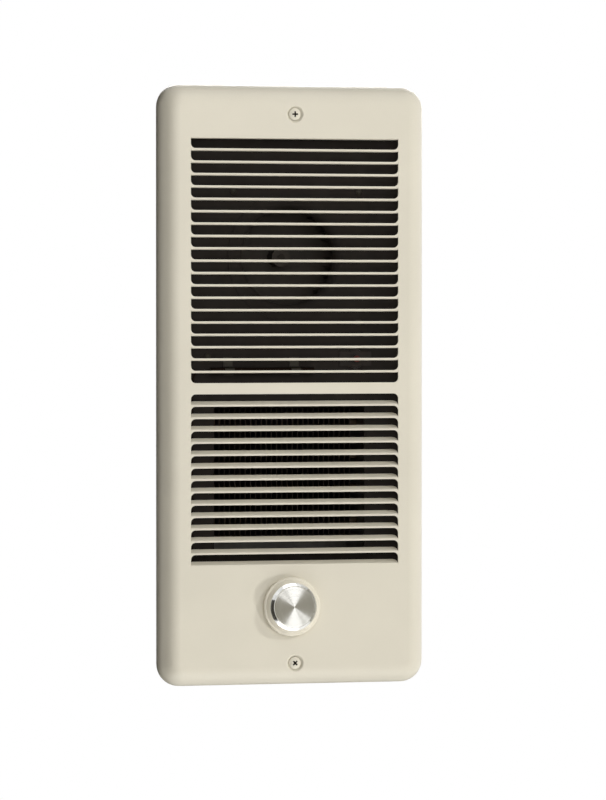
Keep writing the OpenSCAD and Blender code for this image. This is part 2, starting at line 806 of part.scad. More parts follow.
module motor_nuts() {
  color("silver") on_wall() at_motor_screws() difference() {
    translate([0, 0, -scroll_depth]) cylinder(r = 4, h = nut_t, $fn = 6);
    rod([0, 0], motor_screw_r + running, [-scroll_depth - 1, -scroll_depth + nut_t + 1]);
  }
}

// ---- Heating element ----

function run_y(i) = -first_run_below - i*run_pitch;
module heat_duct() {
  x = side_plate_x;
  floor_z = -heat_duct_depth + duct_sheet;
  color("silver") on_wall() {
    slab([-x, x], [duct_bottom, duct_end], [-heat_duct_depth, floor_z]);
    slab([-x, x], [duct_bottom, duct_bottom + duct_sheet], [floor_z, seat]);
    slab([outlet_right, x], [duct_end - duct_sheet, duct_end], [floor_z, seat]);
    slab([-x, outlet_right], [duct_end - duct_sheet, duct_end], [floor_z, scroll_back]);
  }
}
module element_side_plates() {
  color("lightgray") on_wall() each_side() difference() {
    union() {
      slab([side_plate_x, side_plate_x + side_plate_t], [duct_bottom, duct_end], [-heat_duct_depth, seat]);
      slab([side_plate_x + side_plate_t, side_plate_x + side_plate_t + 11], [duct_bottom, duct_end],
           [seat - side_plate_t, seat]);
    }
    for (i = [0:run_count - 1])
      rail([side_plate_x - 1, side_plate_x + side_plate_t + 1], run_y(i), run_z, tube_d/2 + slack);
    for (y = element_screw_ys)
      rod([element_screw_x, y], small_screw_r + slack, [-side_plate_t - 1, 1]);
  }
}
// One U bend between run i and the next, on the side s
module tube_bend(i, s) {
  translate([s*tube_straight, (run_y(i) + run_y(i + 1))/2, run_z]) rotate([0, 0, s > 0 ? -90 : 90])
    rotate_extrude(angle = 180) translate([run_pitch/2, 0]) circle(tube_d/2);
}
module element_tube() {
  color("gray") on_wall() {
    for (i = [0:run_count - 1])
      rail([i == 0 || i == run_count - 1 ? -cold_end : -tube_straight, tube_straight],
           run_y(i), run_z, tube_d/2);
    tube_bend(0, 1);
    tube_bend(1, -1);
    tube_bend(2, 1);
  }
}
module element_fins() {
  color("gainsboro") on_wall()
    for (k = [0:fin_count - 1])
      translate([(k - (fin_count - 1)/2)*fin_pitch, 0, 0]) difference() {
        slab([-fin_t/2, fin_t/2], [run_y(run_count - 1) - 12, run_y(0) + 12],
             [run_z - fin_depth/2, run_z + fin_depth/2]);
        for (i = [0:run_count - 1])
          rail([-1, 1], run_y(i), run_z, tube_d/2 + running);
      }
}
module at_element_ends() {
  for (e = [[run_y(0), 1], [run_y(run_count - 1), -1]])
    translate([-cold_end, e[0], run_z]) scale([1, e[1], 1]) children();
}
module element_insulators() {
  color("white") on_wall() at_element_ends() difference() {
    rail([-insulator_l, 0], 0, 0, tube_d/2 + 1.2);
    rail([-insulator_l - 1, 1], 0, 0, 1.6);
  }
}
module element_terminals() {
  color("silver") on_wall() at_element_ends() {
    rail([-insulator_l - 1.5, 0], 0, 0, 1.5);
    slab([-insulator_l - 3, -insulator_l - 1.5], [-2, terminal_reach], [-6, 6]);
  }
}
terminal_reach = 8;
module element_screws() {
  color("silver") on_wall() at_element_screws() sheet_screw([0, 0], plate_front, small_screw_r, 5, 2.8);
}

// ---- Thermostat ----

module thermostat_bracket() {
  half_h = stat_h/2 - 1;
  color("silver") on_wall() translate([knob_x, knob_y, 0]) difference() {
    union() {
      slab([-stat_leg_x, stat_leg_x], [-half_h, half_h], [stat_top, stat_front]);
      each_side() {
        slab([stat_leg_x - bracket_sheet, stat_leg_x], [-half_h, half_h], [plate_front, stat_top]);
        slab([stat_leg_x, stat_leg_x + stat_foot_l], [-half_h, half_h],
             [plate_front, plate_front + bracket_sheet]);
      }
    }
    rod([0, 0], bush_d/2 + slack, [stat_top - 1, stat_front + 1]);
    for (s = [-1, 1])
      rod([s*stat_screw_x, 0], small_screw_r + slack, [plate_front - 1, plate_front + bracket_sheet + 1]);
  }
}
module thermostat_screws() {
  color("silver") on_wall() at_stat_screws()
    sheet_screw([0, 0], plate_front + bracket_sheet, small_screw_r, 6, 2.8);
}
module thermostat_body() {
  color("saddlebrown") on_wall() translate([knob_x, knob_y, 0]) difference() {
    union() {
      slab([-stat_w/2, stat_w/2], [-stat_h/2, stat_h/2], [stat_top - stat_depth, stat_top - 6]);
      slab([-stat_w/2 + 2, stat_w/2 - 2], [-stat_h/2 + 2, stat_h/2 - 2], [stat_top - 6, stat_top]);
    }
    rod([0, 0], bush_d/2 + slack, [stat_top - 4, stat_top + 1]);
    rod([0, 0], stem_d/2 + 0.4, [stat_top - 12, stat_top]);
  }
}
module thermostat_terminals() {
  color("goldenrod") on_wall()
    for (s = [-1, 1])
      slab([knob_x + s*stat_terminal_x - 0.4, knob_x + s*stat_terminal_x + 0.4],
           [knob_y - 3.2, knob_y + 3.2], [stat_top - stat_depth - blade_terminal_l, stat_top - stat_depth]);
}
module thermostat_bush() {
  color("goldenrod") on_wall() difference() {
    rod([knob_x, knob_y], bush_d/2, [stat_top - 4, bush_end]);
    rod([knob_x, knob_y], stem_d/2 + running, [stat_top - 5, bush_end + 1]);
  }
}
module thermostat_nut() {
  color("silver") on_wall() difference() {
    translate([knob_x, knob_y, stat_front]) cylinder(r = bush_d/2 + 3, h = 2.5, $fn = 6);
    rod([knob_x, knob_y], bush_d/2 + running, [stat_front - 1, stat_front + 3.5]);
  }
}
module thermostat_shaft() {
  color("silver") on_wall() translate([knob_x, knob_y, 0]) difference() {
    rod([0, 0], stem_d/2, [stat_top - 10, stem_end]);
    translate([stem_d/2 - 1.2, -stem_d, knob_back - 0.3]) cube([stem_d, 2*stem_d, 60]);
  }
}
bulb_z = plate_front + bulb_d/2 + 1.3;
bulb_right = 20;
module sensing_bulb() {
  color("peru") on_wall() rail([bulb_right - bulb_l, bulb_right], bulb_y, bulb_z, bulb_d/2);
}
module bulb_clips() {
  clip_r = bulb_d/2 + 0.7;
  color("silver") on_wall()
    for (x = [bulb_right - bulb_l + 12, bulb_right - 20])
      difference() {
        union() {
          rail([x, x + 8], bulb_y, bulb_z, clip_r);
          slab([x, x + 8], [bulb_y, bulb_y + clip_r + 8], [plate_front, plate_front + 0.8]);
        }
        rail([x - 1, x + 9], bulb_y, bulb_z, bulb_d/2 + 0.02);
        slab([x - 1, x + 9], [bulb_y - clip_r - 1, bulb_y], [bulb_z - 1, bulb_z + clip_r + 1]);
      }
}
module limit_switch() {
  color("black") on_wall() translate([limit_x, limit_y, 0]) difference() {
    union() {
      rod([0, 0], limit_d/2, [-limit_depth, plate_front]);
      slab([-limit_d/2 - 6, limit_d/2 + 6], [-6, 6], [plate_front, plate_front + 0.8]);
      rod([0, 0], 3.6, [plate_front, plate_front + 2.5]);
    }
    rod([0, 0], 2 + slack, [-3, plate_front + 3]);
  }
}
module limit_terminals() {
  color("goldenrod") on_wall()
    for (s = [-1, 1])
      slab([limit_x + s*limit_terminal_x - 0.4, limit_x + s*limit_terminal_x + 0.4],
           [limit_y - 3.2, limit_y + 3.2], [-limit_depth - blade_terminal_l, -limit_depth]);
}
module reset_button() {
  color("red") on_wall() translate([limit_x, limit_y, 0]) {
    rod([0, 0], 2, [-3 + reset_travel, plate_front + 3.5 + reset_travel]);
    rod([0, 0], 2.8, [plate_front + 2.6 + reset_travel, plate_front + 3.8 + reset_travel]);
  }
}

// ---- Wiring ----
// A route is a list of points with its corners rounded. A tube is swept along it as one closed solid.

tube_sides = 8;
corner_steps = 3;
function unit(v) = v/norm(v);
function corner(a, b, c, r) = let (
    cut = min(r, norm(a - b)*0.45, norm(c - b)*0.45),
    p = b + unit(a - b)*cut, q = b + unit(c - b)*cut
  ) [for (k = [0:corner_steps]) let (t = k/corner_steps) (1 - t)*(1 - t)*p + 2*t*(1 - t)*b + t*t*q];
function rounded(points, r) = concat(
    [points[0]],
    [for (i = [1:len(points) - 2]) each corner(points[i - 1], points[i], points[i + 1], r)],
    [points[len(points) - 1]]
  );
function directions(p) = [for (i = [0:len(p) - 1])
    i == 0 ? unit(p[1] - p[0])
    : i == len(p) - 1 ? unit(p[i] - p[i - 1])
    : unit(unit(p[i + 1] - p[i]) + unit(p[i] - p[i - 1]))];
// Normals carried along the route without twist
function carried(d, i, n) = i == len(d) ? []
  : let (m = unit(n - d[i]*(n*d[i]))) concat([m], carried(d, i + 1, m));
module swept_tube(points, r, bend) {
  path = rounded(points, bend);
  dirs = directions(path);
  start = abs(dirs[0][2]) < 0.9 ? [0, 0, 1] : [1, 0, 0];
  normals = carried(dirs, 0, start);
  count = len(path);
  rings = [for (i = [0:count - 1], k = [0:tube_sides - 1])
    let (a = 360*(k + 0.5)/tube_sides, b = cross(dirs[i], normals[i]))
    path[i] + r*(cos(a)*normals[i] + sin(a)*b)];
  sides = [for (i = [0:count - 2], k = [0:tube_sides - 1])
    let (a = i*tube_sides + k, b = i*tube_sides + (k + 1) % tube_sides)
    each [[a, a + tube_sides, b], [b, a + tube_sides, b + tube_sides]]];
  ends = [
    [for (k = [0:tube_sides - 1]) k],
    [for (k = [0:tube_sides - 1]) count*tube_sides - 1 - k]
  ];
  polyhedron(rings, concat(sides, ends), convexity = 6);
}
module lead(points) {
  swept_tube(points, lead_d/2, 10);
}

nut_y = -204; // mouths of the wire connectors
nut_z = -50;
connector_xs = [-60, -30, 20];
module wire_connectors() {
  color("gold") on_wall()
    for (x = connector_xs)
      translate([x, nut_y, nut_z]) rotate([90, 0, 0])
        cylinder(r1 = 6.5, r2 = 4, h = 20);
}
stat_blade_z = stat_top - stat_depth - blade_terminal_l;
limit_blade_z = -limit_depth - blade_terminal_l;
end_tab_x = -cold_end - insulator_l - 2.25;
upper_tab_y = run_y(0) + terminal_reach;
lower_tab_y = run_y(run_count - 1) - terminal_reach;
module lead_black() {
  x = connector_xs[1];
  t = knob_x - stat_terminal_x;
  color("black") on_wall() lead([
    [x, nut_y, nut_z], [x, nut_y + 12, nut_z], [t, knob_y, nut_z], [t, knob_y, stat_blade_z]]);
}
module leads_red() {
  t = knob_x + stat_terminal_x;
  left_x = limit_x - limit_terminal_x;
  right_x = limit_x + limit_terminal_x;
  side_x = 84;
  color("red") on_wall() {
    lead([
      [t, knob_y, stat_blade_z], [t, knob_y, -46], [60, knob_y, -46], [side_x, -165, -14],
      [side_x, 5, -14], [side_x, limit_y, -34], [right_x, limit_y, -38], [right_x, limit_y, limit_blade_z]]);
    lead([
      [left_x, limit_y, limit_blade_z], [left_x, limit_y, -66], [-50, 14, -68], [-84, 6, -60],
      [end_tab_x, -6, run_z - 3], [end_tab_x, upper_tab_y, run_z - 3]]);
  }
}
module lead_white() {
  x = connector_xs[0];
  color("white") on_wall() lead([
    [x - 3, nut_y, nut_z], [x - 3, nut_y + 14, nut_z], [end_tab_x, -160, run_z - 3],
    [end_tab_x, lower_tab_y, run_z - 3]]);
}
module motor_leads() {
  flange_x = -bobbin_half_l - flange_t;
  x = connector_xs[0];
  high = blower_y + coil_bar[1] - 4;
  low = blower_y + coil_bar[0] + 2;
  z = stack_back - 4;
  color("royalblue") on_wall() {
    lead([
      [flange_x, high, z], [-50, high, z], [-80, 130, -66], [-80, 70, -50],
      [end_tab_x, 40, run_z + 3], [end_tab_x, upper_tab_y, run_z + 3]]);
    lead([
      [flange_x, low, z], [-50, low, z], [-76, 110, -76], [-76, -150, -74],
      [x + 2, nut_y + 26, nut_z - 8], [x + 2, nut_y + 12, nut_z], [x + 2, nut_y, nut_z]]);
  }
}
module lead_green() {
  g = [ground_place[0], ground_place[1], inner_back + ground_head];
  x = connector_xs[2];
  color("green") on_wall() lead([
    [x, nut_y, nut_z], [x, nut_y + 14, nut_z], [45, -196, -62], [g[0], g[1], g[2] + 16], g]);
}
module capillary_tube() {
  left = bulb_right - bulb_l;
  port_x = knob_x - 14;
  z = 4.2;
  color("peru") on_wall() swept_tube([
    [left, bulb_y, bulb_z], [-84, bulb_y, bulb_z], [-86, 0, z], [-86, -158, z],
    [port_x, -158, z], [port_x, knob_y + stat_h/2, z]], capillary_d/2, 8);
}

front_cover();
cover_screws();
cover_brackets();
knob();
knob_cap();
knob_clip();
wall_box_wrap();
wall_box_top();
wall_box_bottom();
knockout_discs();
ground_screw();
chassis_plate();
chassis_screws();
blower_inlet_ring();
blower_housing();
blower_wheel();
wheel_set_screw();
motor_shaft();
motor_rotor();
motor_stator();
motor_bobbin();
motor_coil();
motor_brackets();
motor_bearings();
motor_grommets();
motor_screws();
motor_nuts();
heat_duct();
element_side_plates();
element_tube();
element_fins();
element_insulators();
element_terminals();
element_screws();
thermostat_bracket();
thermostat_screws();
thermostat_body();
thermostat_terminals();
thermostat_bush();
thermostat_nut();
thermostat_shaft();
sensing_bulb();
bulb_clips();
capillary_tube();
limit_switch();
limit_terminals();
reset_button();
wire_connectors();
lead_black();
leads_red();
lead_white();
motor_leads();
lead_green();
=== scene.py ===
import json
import math

import bmesh
import bpy
from bpy.props import FloatProperty, FloatVectorProperty, IntProperty, PointerProperty
from mathutils import Matrix, Vector


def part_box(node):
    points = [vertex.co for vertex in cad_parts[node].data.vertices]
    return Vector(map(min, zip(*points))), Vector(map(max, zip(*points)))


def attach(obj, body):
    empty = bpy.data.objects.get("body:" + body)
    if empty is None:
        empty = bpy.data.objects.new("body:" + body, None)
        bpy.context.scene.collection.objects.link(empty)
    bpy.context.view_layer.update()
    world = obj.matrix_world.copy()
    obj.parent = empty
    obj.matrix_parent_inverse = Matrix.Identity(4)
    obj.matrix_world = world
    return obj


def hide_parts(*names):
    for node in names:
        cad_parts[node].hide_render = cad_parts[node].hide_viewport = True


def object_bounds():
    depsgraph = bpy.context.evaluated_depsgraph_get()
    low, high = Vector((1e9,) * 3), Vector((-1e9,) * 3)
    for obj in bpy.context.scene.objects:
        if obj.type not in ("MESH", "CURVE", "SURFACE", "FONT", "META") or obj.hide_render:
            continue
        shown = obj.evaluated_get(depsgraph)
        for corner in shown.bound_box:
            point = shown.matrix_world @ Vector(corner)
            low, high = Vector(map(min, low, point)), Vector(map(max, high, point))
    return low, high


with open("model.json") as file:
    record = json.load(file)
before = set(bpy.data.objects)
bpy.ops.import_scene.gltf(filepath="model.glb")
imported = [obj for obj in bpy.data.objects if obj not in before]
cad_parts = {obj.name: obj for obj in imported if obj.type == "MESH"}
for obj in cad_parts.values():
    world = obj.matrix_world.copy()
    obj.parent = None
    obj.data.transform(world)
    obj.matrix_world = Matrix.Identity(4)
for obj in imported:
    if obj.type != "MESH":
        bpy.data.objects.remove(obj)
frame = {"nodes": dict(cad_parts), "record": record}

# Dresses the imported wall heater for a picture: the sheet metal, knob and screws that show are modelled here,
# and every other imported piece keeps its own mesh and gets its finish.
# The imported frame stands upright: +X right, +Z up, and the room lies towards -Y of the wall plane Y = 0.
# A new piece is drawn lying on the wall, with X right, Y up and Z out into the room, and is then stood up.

bl_info = {
    "name": "Wall Fan Heater",
    "version": (1, 0, 0),
    "blender": (4, 5, 0),
    "location": "View3D > Sidebar > Heater",
    "description": "Builds a recessed bathroom wall heater around its packed frame",
    "category": "Add Mesh",
}

CAD_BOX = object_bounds()
COVER_LOW, COVER_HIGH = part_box("front_cover")
KNOB_LOW, KNOB_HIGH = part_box("knob")
CAP_LOW, CAP_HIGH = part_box("knob_cap")
KNOB_X, KNOB_Z = (KNOB_LOW.x + KNOB_HIGH.x) / 2, (KNOB_LOW.z + KNOB_HIGH.z) / 2
# Height of the cap's rim above the knob's rear
CAP_FOOT = KNOB_HIGH.y - CAP_HIGH.y


# ---- Sizes and colours that a user would change ----

def length(label, default, description):
    """A length in metres."""
    return FloatProperty(name=label, description=description, default=default, precision=4,
                         unit="LENGTH", subtype="DISTANCE")


def angle(label, degrees, description):
    """An angle, given in degrees and kept in radians."""
    return FloatProperty(name=label, description=description, default=math.radians(degrees),
                         unit="ROTATION", subtype="ANGLE")


def colour(label, default, description):
    """A linear colour."""
    return FloatVectorProperty(name=label, description=description, default=default, size=3,
                               subtype="COLOR", min=0.0, max=1.0)


def amount(label, default, description, unit="NONE"):
    """A number that is never negative, such as a lamp's power in watts."""
    return FloatProperty(name=label, description=description, default=default, min=0.0, unit=unit)


class CoverSizes(bpy.types.PropertyGroup):
    """Sizes of the louvred cover and its screws"""
    width: length("Width", COVER_HIGH.x - COVER_LOW.x, "Width of the cover")
    height: length("Height", COVER_HIGH.z - COVER_LOW.z, "Height of the cover")
    depth: length("Depth", -COVER_LOW.y, "How far the cover stands out from the wall")
    sheet: length("Sheet", 0.001, "Thickness of the cover's steel")
    edge_radius: length("Edge radius", 0.0165, "Radius of the quarter-round edge")
    corner_radius: length("Corner radius", 0.019, "Radius of the corners, seen from the front")
    slot_width: length("Slot width", 0.1815, "Width of a slot")
    slot_height: length("Slot height", 0.0084, "Height of a slot")
    strip: length("Strip", 0.00195, "Height of the strip between two slots")
    divider: length("Divider", 0.0094, "Height of the plain band between the two groups of slots")
    first_slot: length("First slot", 0.2072, "Height of the first slot's top edge above the middle")
    intake_slots: IntProperty(name="Intake slots", description="Number of slots above the band",
                              default=20, min=1)
    outlet_slots: IntProperty(name="Outlet slots", description="Number of slots below the band",
                              default=14, min=1)
    intake_bend: angle("Intake bend", 88, "Angle by which an intake flap is bent in")
    outlet_bend: angle("Outlet bend", 69, "Angle by which an outlet flap is bent in")
    bend_radius: length("Bend radius", 0.0013, "Outer radius of a flap's bend")
    slot_corner: length("Slot corner", 0.004, "Radius of the round corners of a flap and its slot")
    relief: length("Shear gap", 0.0003, "Gap at each end of a flap")
    dimple: length("Dimple", 0.0144, "Diameter of the dimple under a screw head")
    dimple_depth: length("Dimple depth", 0.0025, "Depth of the dimple")
    dimple_taper: length("Dimple taper", 0.0022, "How much narrower the dimple's floor is, on each side")
    screw_hole: length("Screw hole", 0.0048, "Diameter of the hole for a screw")
    knob_hole: length("Knob hole", 0.013, "Diameter of the hole behind the knob")
    screw_head: length("Screw head", 0.0102, "Diameter of a cover screw's head")
    screw_top: length("Top screw", 0.228, "Height of the top screw above the middle")
    screw_bottom: length("Bottom screw", 0.234, "Distance of the bottom screw below the middle")


class KnobSizes(bpy.types.PropertyGroup):
    """Sizes of the thermostat knob and its metal cap"""
    diameter: length("Diameter", KNOB_HIGH.x - KNOB_LOW.x, "Diameter of the knob's skirt")
    skirt: length("Skirt", 0.0038, "Height of the skirt's round edge")
    bead: length("Bead", 0.0019, "Width of the flat bead round the skirt")
    wall: length("Wall", 0.0018, "Wall of the knob")
    hub: length("Hub", 0.013, "Diameter of the hub inside the knob")
    bore: length("Bore", 0.0061, "Diameter of the hub's bore")
    cap: length("Cap", CAP_HIGH.x - CAP_LOW.x - 0.0012, "Outer diameter of the metal cap")
    cap_face: length("Cap face", 0.0345, "Diameter of the cap's flat face")
    cap_step: length("Cap step", 0.0013, "How far the cap's face stands above its flange")
    cap_rise: length("Cap rise", CAP_HIGH.y - CAP_LOW.y, "Height of the cap's bevelled rim")
    cap_sheet: length("Cap sheet", 0.0008, "Thickness of the cap's aluminium")


class Colours(bpy.types.PropertyGroup):
    """Colours of the finishes that show"""
    paint: colour("Paint", (0.745, 0.70, 0.582), "Almond enamel of the cover")
    # The knob's almond is partly the plastic's own colour, which matches the cover's paint, and partly painted
    # light, set lighter to lift its shaded skirt.
    knob: colour("Knob", (0.81, 0.76, 0.635), "Almond plastic of the knob")
    aluminium: colour("Aluminium", (0.86, 0.86, 0.84), "Spun aluminium of the knob's cap")
    galvanised: colour("Galvanised", (0.38, 0.395, 0.41), "Galvanised sheet of the wall box")


class StageSettings(bpy.types.PropertyGroup):
    """The camera, the lamps and the floor"""
    turn: angle("Camera turn", -16.0, "Angle of the camera about the object, from straight ahead")
    distance: length("Camera distance", 4.3, "Distance of the camera")
    rise: length("Camera rise", 0.067, "Height of the camera above the object's middle")
    aim_right: length("Aim right", 0.0118, "How far right of the object's middle the camera looks")
    aim_up: length("Aim up", -0.0127, "How far above the object's middle the camera looks")
    lens: FloatProperty(name="Lens", description="Focal length of the camera, in millimetres",
                        default=229.0, min=50)
    key: amount("Main light", 5.6, "Power of the main light", "POWER")
    shadow: amount("Shadow light", 49.0, "Power of each small light that draws the shadows", "POWER")
    right: amount("Right light", 4.8, "Power of the right light", "POWER")
    top: amount("Top light", 5.0, "Power of the top light", "POWER")
    low: amount("Low light", 8.6, "Power of the low light", "POWER")
    back: amount("Back light", 30.0, "Power of the light behind the wall box", "POWER")
    ambient: amount("Ambient", 0.02, "Strength of the warm light from all round")
    glow: amount("Floor glow", 0.68, "How brightly the floor shines of itself, so that it shows white")
    floor_drop: length("Floor drop", 1.05, "Distance from the object's lowest point to the floor")


# ---- Meshes ----

def stand_up(bm):
    """Stands a piece that was drawn lying on the wall upright."""
    bmesh.ops.transform(bm, matrix=Matrix.Rotation(math.pi / 2, 4, "X"), verts=bm.verts[:])


def outward(bm):
    """Merges the seams and poles and turns every face outwards."""
    bmesh.ops.remove_doubles(bm, verts=bm.verts[:], dist=1e-6)
    bmesh.ops.recalc_face_normals(bm, faces=bm.faces[:])


def piece(bm, name, finish, smooth=True):
    """Makes the object of a finished bmesh."""
    mesh = bpy.data.meshes.new(name)
    bm.to_mesh(mesh)
    bm.free()
    mesh.polygons.foreach_set("use_smooth", [smooth] * len(mesh.polygons))
    made = bpy.data.objects.new(name, mesh)
    bpy.context.scene.collection.objects.link(made)
    mesh.materials.append(finish)
    return made


def settle(made, *modifiers):
    """Adds modifiers to a piece, in order, and applies them."""
    for kind, settings in modifiers:
        modifier = made.modifiers.new(kind.title(), kind)
        for setting, value in settings.items():
            setattr(modifier, setting, value)
    bpy.context.view_layer.update()
    depsgraph = bpy.context.evaluated_depsgraph_get()
    mesh = bpy.data.meshes.new_from_object(made.evaluated_get(depsgraph), depsgraph=depsgraph)
    made.modifiers.clear()
    made.data = mesh
    return made


def soft_edges(width, segments=2, degrees=35):
    """The modifiers that round the sharp edges and keep the flats flat."""
    return (
        ("BEVEL", {"width": width, "segments": segments, "limit_method": "ANGLE",
                   "angle_limit": math.radians(degrees), "use_clamp_overlap": True}),
        ("WEIGHTED_NORMAL", {"keep_sharp": False, "weight": 80}),
    )


def shade_flats(made, degrees=48):
    """Keeps the flats exactly flat and lets each bend run smoothly into them, whatever their triangles."""
    mesh = made.data
    normals = [face.normal.copy() for face in mesh.polygons]
    areas = [face.area for face in mesh.polygons]
    flat = [max(abs(c) for c in normal) > 0.99999 for normal in normals]
    around = [[] for _ in mesh.vertices]
    for face in mesh.polygons:
        for v in face.vertices:
            around[v].append(face.index)
    limit = math.cos(math.radians(degrees))
    wanted = []
    for face in mesh.polygons:
        own = normals[face.index]
        for v in face.vertices:
            near = [k for k in around[v] if normals[k].dot(own) > limit]
            level = [k for k in near if flat[k]]
            if level:
                wanted.append(normals[max(level, key=lambda k: (normals[k].dot(own) > 0.999, areas[k]))])
            else:
                total = sum((normals[k] * areas[k] for k in near), Vector())
                wanted.append(total.normalized() if total.length > 1e-15 else own)
    mesh.polygons.foreach_set("use_smooth", [True] * len(mesh.polygons))
    mesh.normals_split_custom_set(wanted)
    return made


def hand_over(made, body, slot, *nodes):
    """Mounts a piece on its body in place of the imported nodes."""
    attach(made, body)
    if nodes:
        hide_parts(*nodes)
    return made


def outline(bm, points, rounded=(), radius=0.0, segments=6):
    """Draws a closed outline as loose edges, with some of its corners rounded."""
    corners = [bm.verts.new(p) for p in points]
    face = bm.faces.new(corners)
    kept = [v for i, v in enumerate(corners) if i not in rounded]
    if rounded:
        bmesh.ops.bevel(bm, geom=[corners[i] for i in rounded], offset=radius, segments=segments,
                        profile=0.5, affect="VERTICES", material=-1)
        face = kept[0].link_faces[0]
    edges = face.edges[:]
    bmesh.ops.delete(bm, geom=[face], context="FACES_ONLY")
    return edges, kept


def pull(bm, edges, place):
    """Extrudes edges once and puts each new point where place(point) says. Returns the new edges."""
    made = bmesh.ops.extrude_edge_only(bm, edges=edges)["geom"]
    points = {g for g in made if isinstance(g, bmesh.types.BMVert)}
    for point in points:
        point.co = place(point.co)
    return [g for g in made if isinstance(g, bmesh.types.BMEdge)
            and g.verts[0] in points and g.verts[1] in points]


def lathe(profile, steps, closed=True):
    """Turns a profile of (radius, height) points about the Z axis into a solid or a shell."""
    bm = bmesh.new()
    points = [bm.verts.new((r, 0.0, z)) for r, z in profile]
    edges = [bm.edges.new(pair) for pair in zip(points, points[1:] + (points[:1] if closed else []))]
    bmesh.ops.spin(bm, geom=points + edges, cent=(0, 0, 0), axis=(0, 0, 1), dvec=(0, 0, 0),
                   angle=2 * math.pi, steps=steps, use_merge=True, use_duplicate=False)
    outward(bm)
    bmesh.ops.dissolve_degenerate(bm, dist=1e-7, edges=bm.edges[:])
    return bm


def corner(centre, radius, start, end, steps=6):
    """Points of a round corner in a profile, with its angles in degrees."""
    return [(centre[0] + radius * math.cos(math.radians(start + (end - start) * k / steps)),
             centre[1] + radius * math.sin(math.radians(start + (end - start) * k / steps)))
            for k in range(steps + 1)]


# ---- Finishes ----

class Finish:
    """A procedural finish, built from its coordinates up to the surface shader."""

    def __init__(self, name):
        self.material = bpy.data.materials.new(name)
        self.material.use_nodes = True
        self.tree = self.material.node_tree
        self.surface = self.tree.nodes["Principled BSDF"]
        self.place = self.add("TexCoord").outputs["Object"]

    def add(self, kind, inputs=None, **settings):
        """Adds a shader node. An input is a value or the socket that feeds it."""
        node = self.tree.nodes.new("ShaderNode" + kind)
        for setting, value in settings.items():
            setattr(node, setting, value)
        for socket, value in (inputs or {}).items():
            if isinstance(value, bpy.types.NodeSocket):
                self.tree.links.new(value, node.inputs[socket])
            else:
                node.inputs[socket].default_value = value
        return node

    def set(self, **values):
        """Sets sockets of the surface shader, with underscores for the spaces in their names."""
        for name, value in values.items():
            socket = self.surface.inputs[name.replace("_", " ")]
            if isinstance(value, bpy.types.NodeSocket):
                self.tree.links.new(value, socket)
            else:
                socket.default_value = value
        return self

    def stretched(self, scale, location=(0, 0, 0)):
        """The piece's coordinates, scaled and moved."""
        return self.add("Mapping", {"Vector": self.place, "Scale": scale, "Location": location}).outputs[0]

    def noise(self, scale, detail=3.0, roughness=0.5, place=None):
        """A pattern of clouds, scale of them to the metre."""
        return self.add("TexNoise", {"Vector": place or self.place, "Scale": scale, "Detail": detail,
                                     "Roughness": roughness}).outputs[0]

    def ramp(self, value, low, high, start=0.35, end=0.65):
        """Maps a pattern between two values."""
        return self.add("MapRange", {"Value": value, "From Min": start, "From Max": end, "To Min": low,
                                     "To Max": high}).outputs["Result"]

    def blend(self, amount, first, second, kind="MIX"):
        """Mixes two colours or patterns by an amount."""
        node = self.add("Mix", data_type="RGBA", blend_type=kind)
        for socket, value in (("Factor", amount), ("A", first), ("B", second)):
            target = [i for i in node.inputs if i.name == socket and i.enabled][0]
            if isinstance(value, bpy.types.NodeSocket):
                self.tree.links.new(value, target)
            else:
                target.default_value = value if socket == "Factor" else (*value, 1.0)
        return [o for o in node.outputs if o.enabled][0]

    def relief(self, height, depth, strength=1.0, below=None):
        """Bumps the surface by a pattern, depth metres from its lowest to its highest."""
        inputs = {"Height": height, "Distance": depth, "Strength": strength}
        if below is not None:
            inputs["Normal"] = below
        return self.add("Bump", inputs).outputs[0]


def shade_of(base, factor):
    """A lighter or darker shade of a colour."""
    return tuple(min(1.0, c * factor) for c in base)


def mottled(finish, base, spread, scale, fine_spread=0.0, fine_scale=1500.0):
    """A base colour with broad clouds and a fine speckle."""
    tone = finish.blend(finish.ramp(finish.noise(scale, 3), 0.0, 1.0), shade_of(base, 1 - spread),
                        shade_of(base, 1 + spread))
    if fine_spread:
        speck = finish.ramp(finish.noise(fine_scale, 2), 0.0, 1.0)
        fine = finish.blend(speck, (1 - fine_spread,) * 3, (1.0, 1.0, 1.0))
        tone = finish.blend(1.0, tone, fine, "MULTIPLY")
    return tone


def enamel(name, base, roughness=0.36, peel=0.00003):
    """Baked enamel on steel: orange peel, a little dust in the paint, and slightly uneven gloss."""
    f = Finish(name)
    tone = mottled(f, base, 0.018, 14, 0.035, 1900)
    peel_height = f.noise(620, 2.0, 0.4)
    dust = f.noise(2600, 2.0, 0.6)
    normal = f.relief(dust, 0.000006, 0.5, f.relief(peel_height, peel, 0.5))
    return f.set(Base_Color=tone, Roughness=f.ramp(f.noise(55, 3), roughness - 0.04, roughness + 0.05),
                 Normal=normal, Specular_IOR_Level=0.42).material


def moulded(name, base, roughness=0.42, spread=0.03, texture=0.00002):
    """Moulded plastic: an even colour with flow clouds and a fine spark texture."""
    f = Finish(name)
    tone = mottled(f, base, spread, 60, spread * 0.8, 2300)
    normal = f.relief(f.noise(1700, 3, 0.6), texture, 0.6)
    return f.set(Base_Color=tone, Roughness=f.ramp(f.noise(180, 3), roughness - 0.05, roughness + 0.06),
                 Normal=normal, Specular_IOR_Level=0.45).material


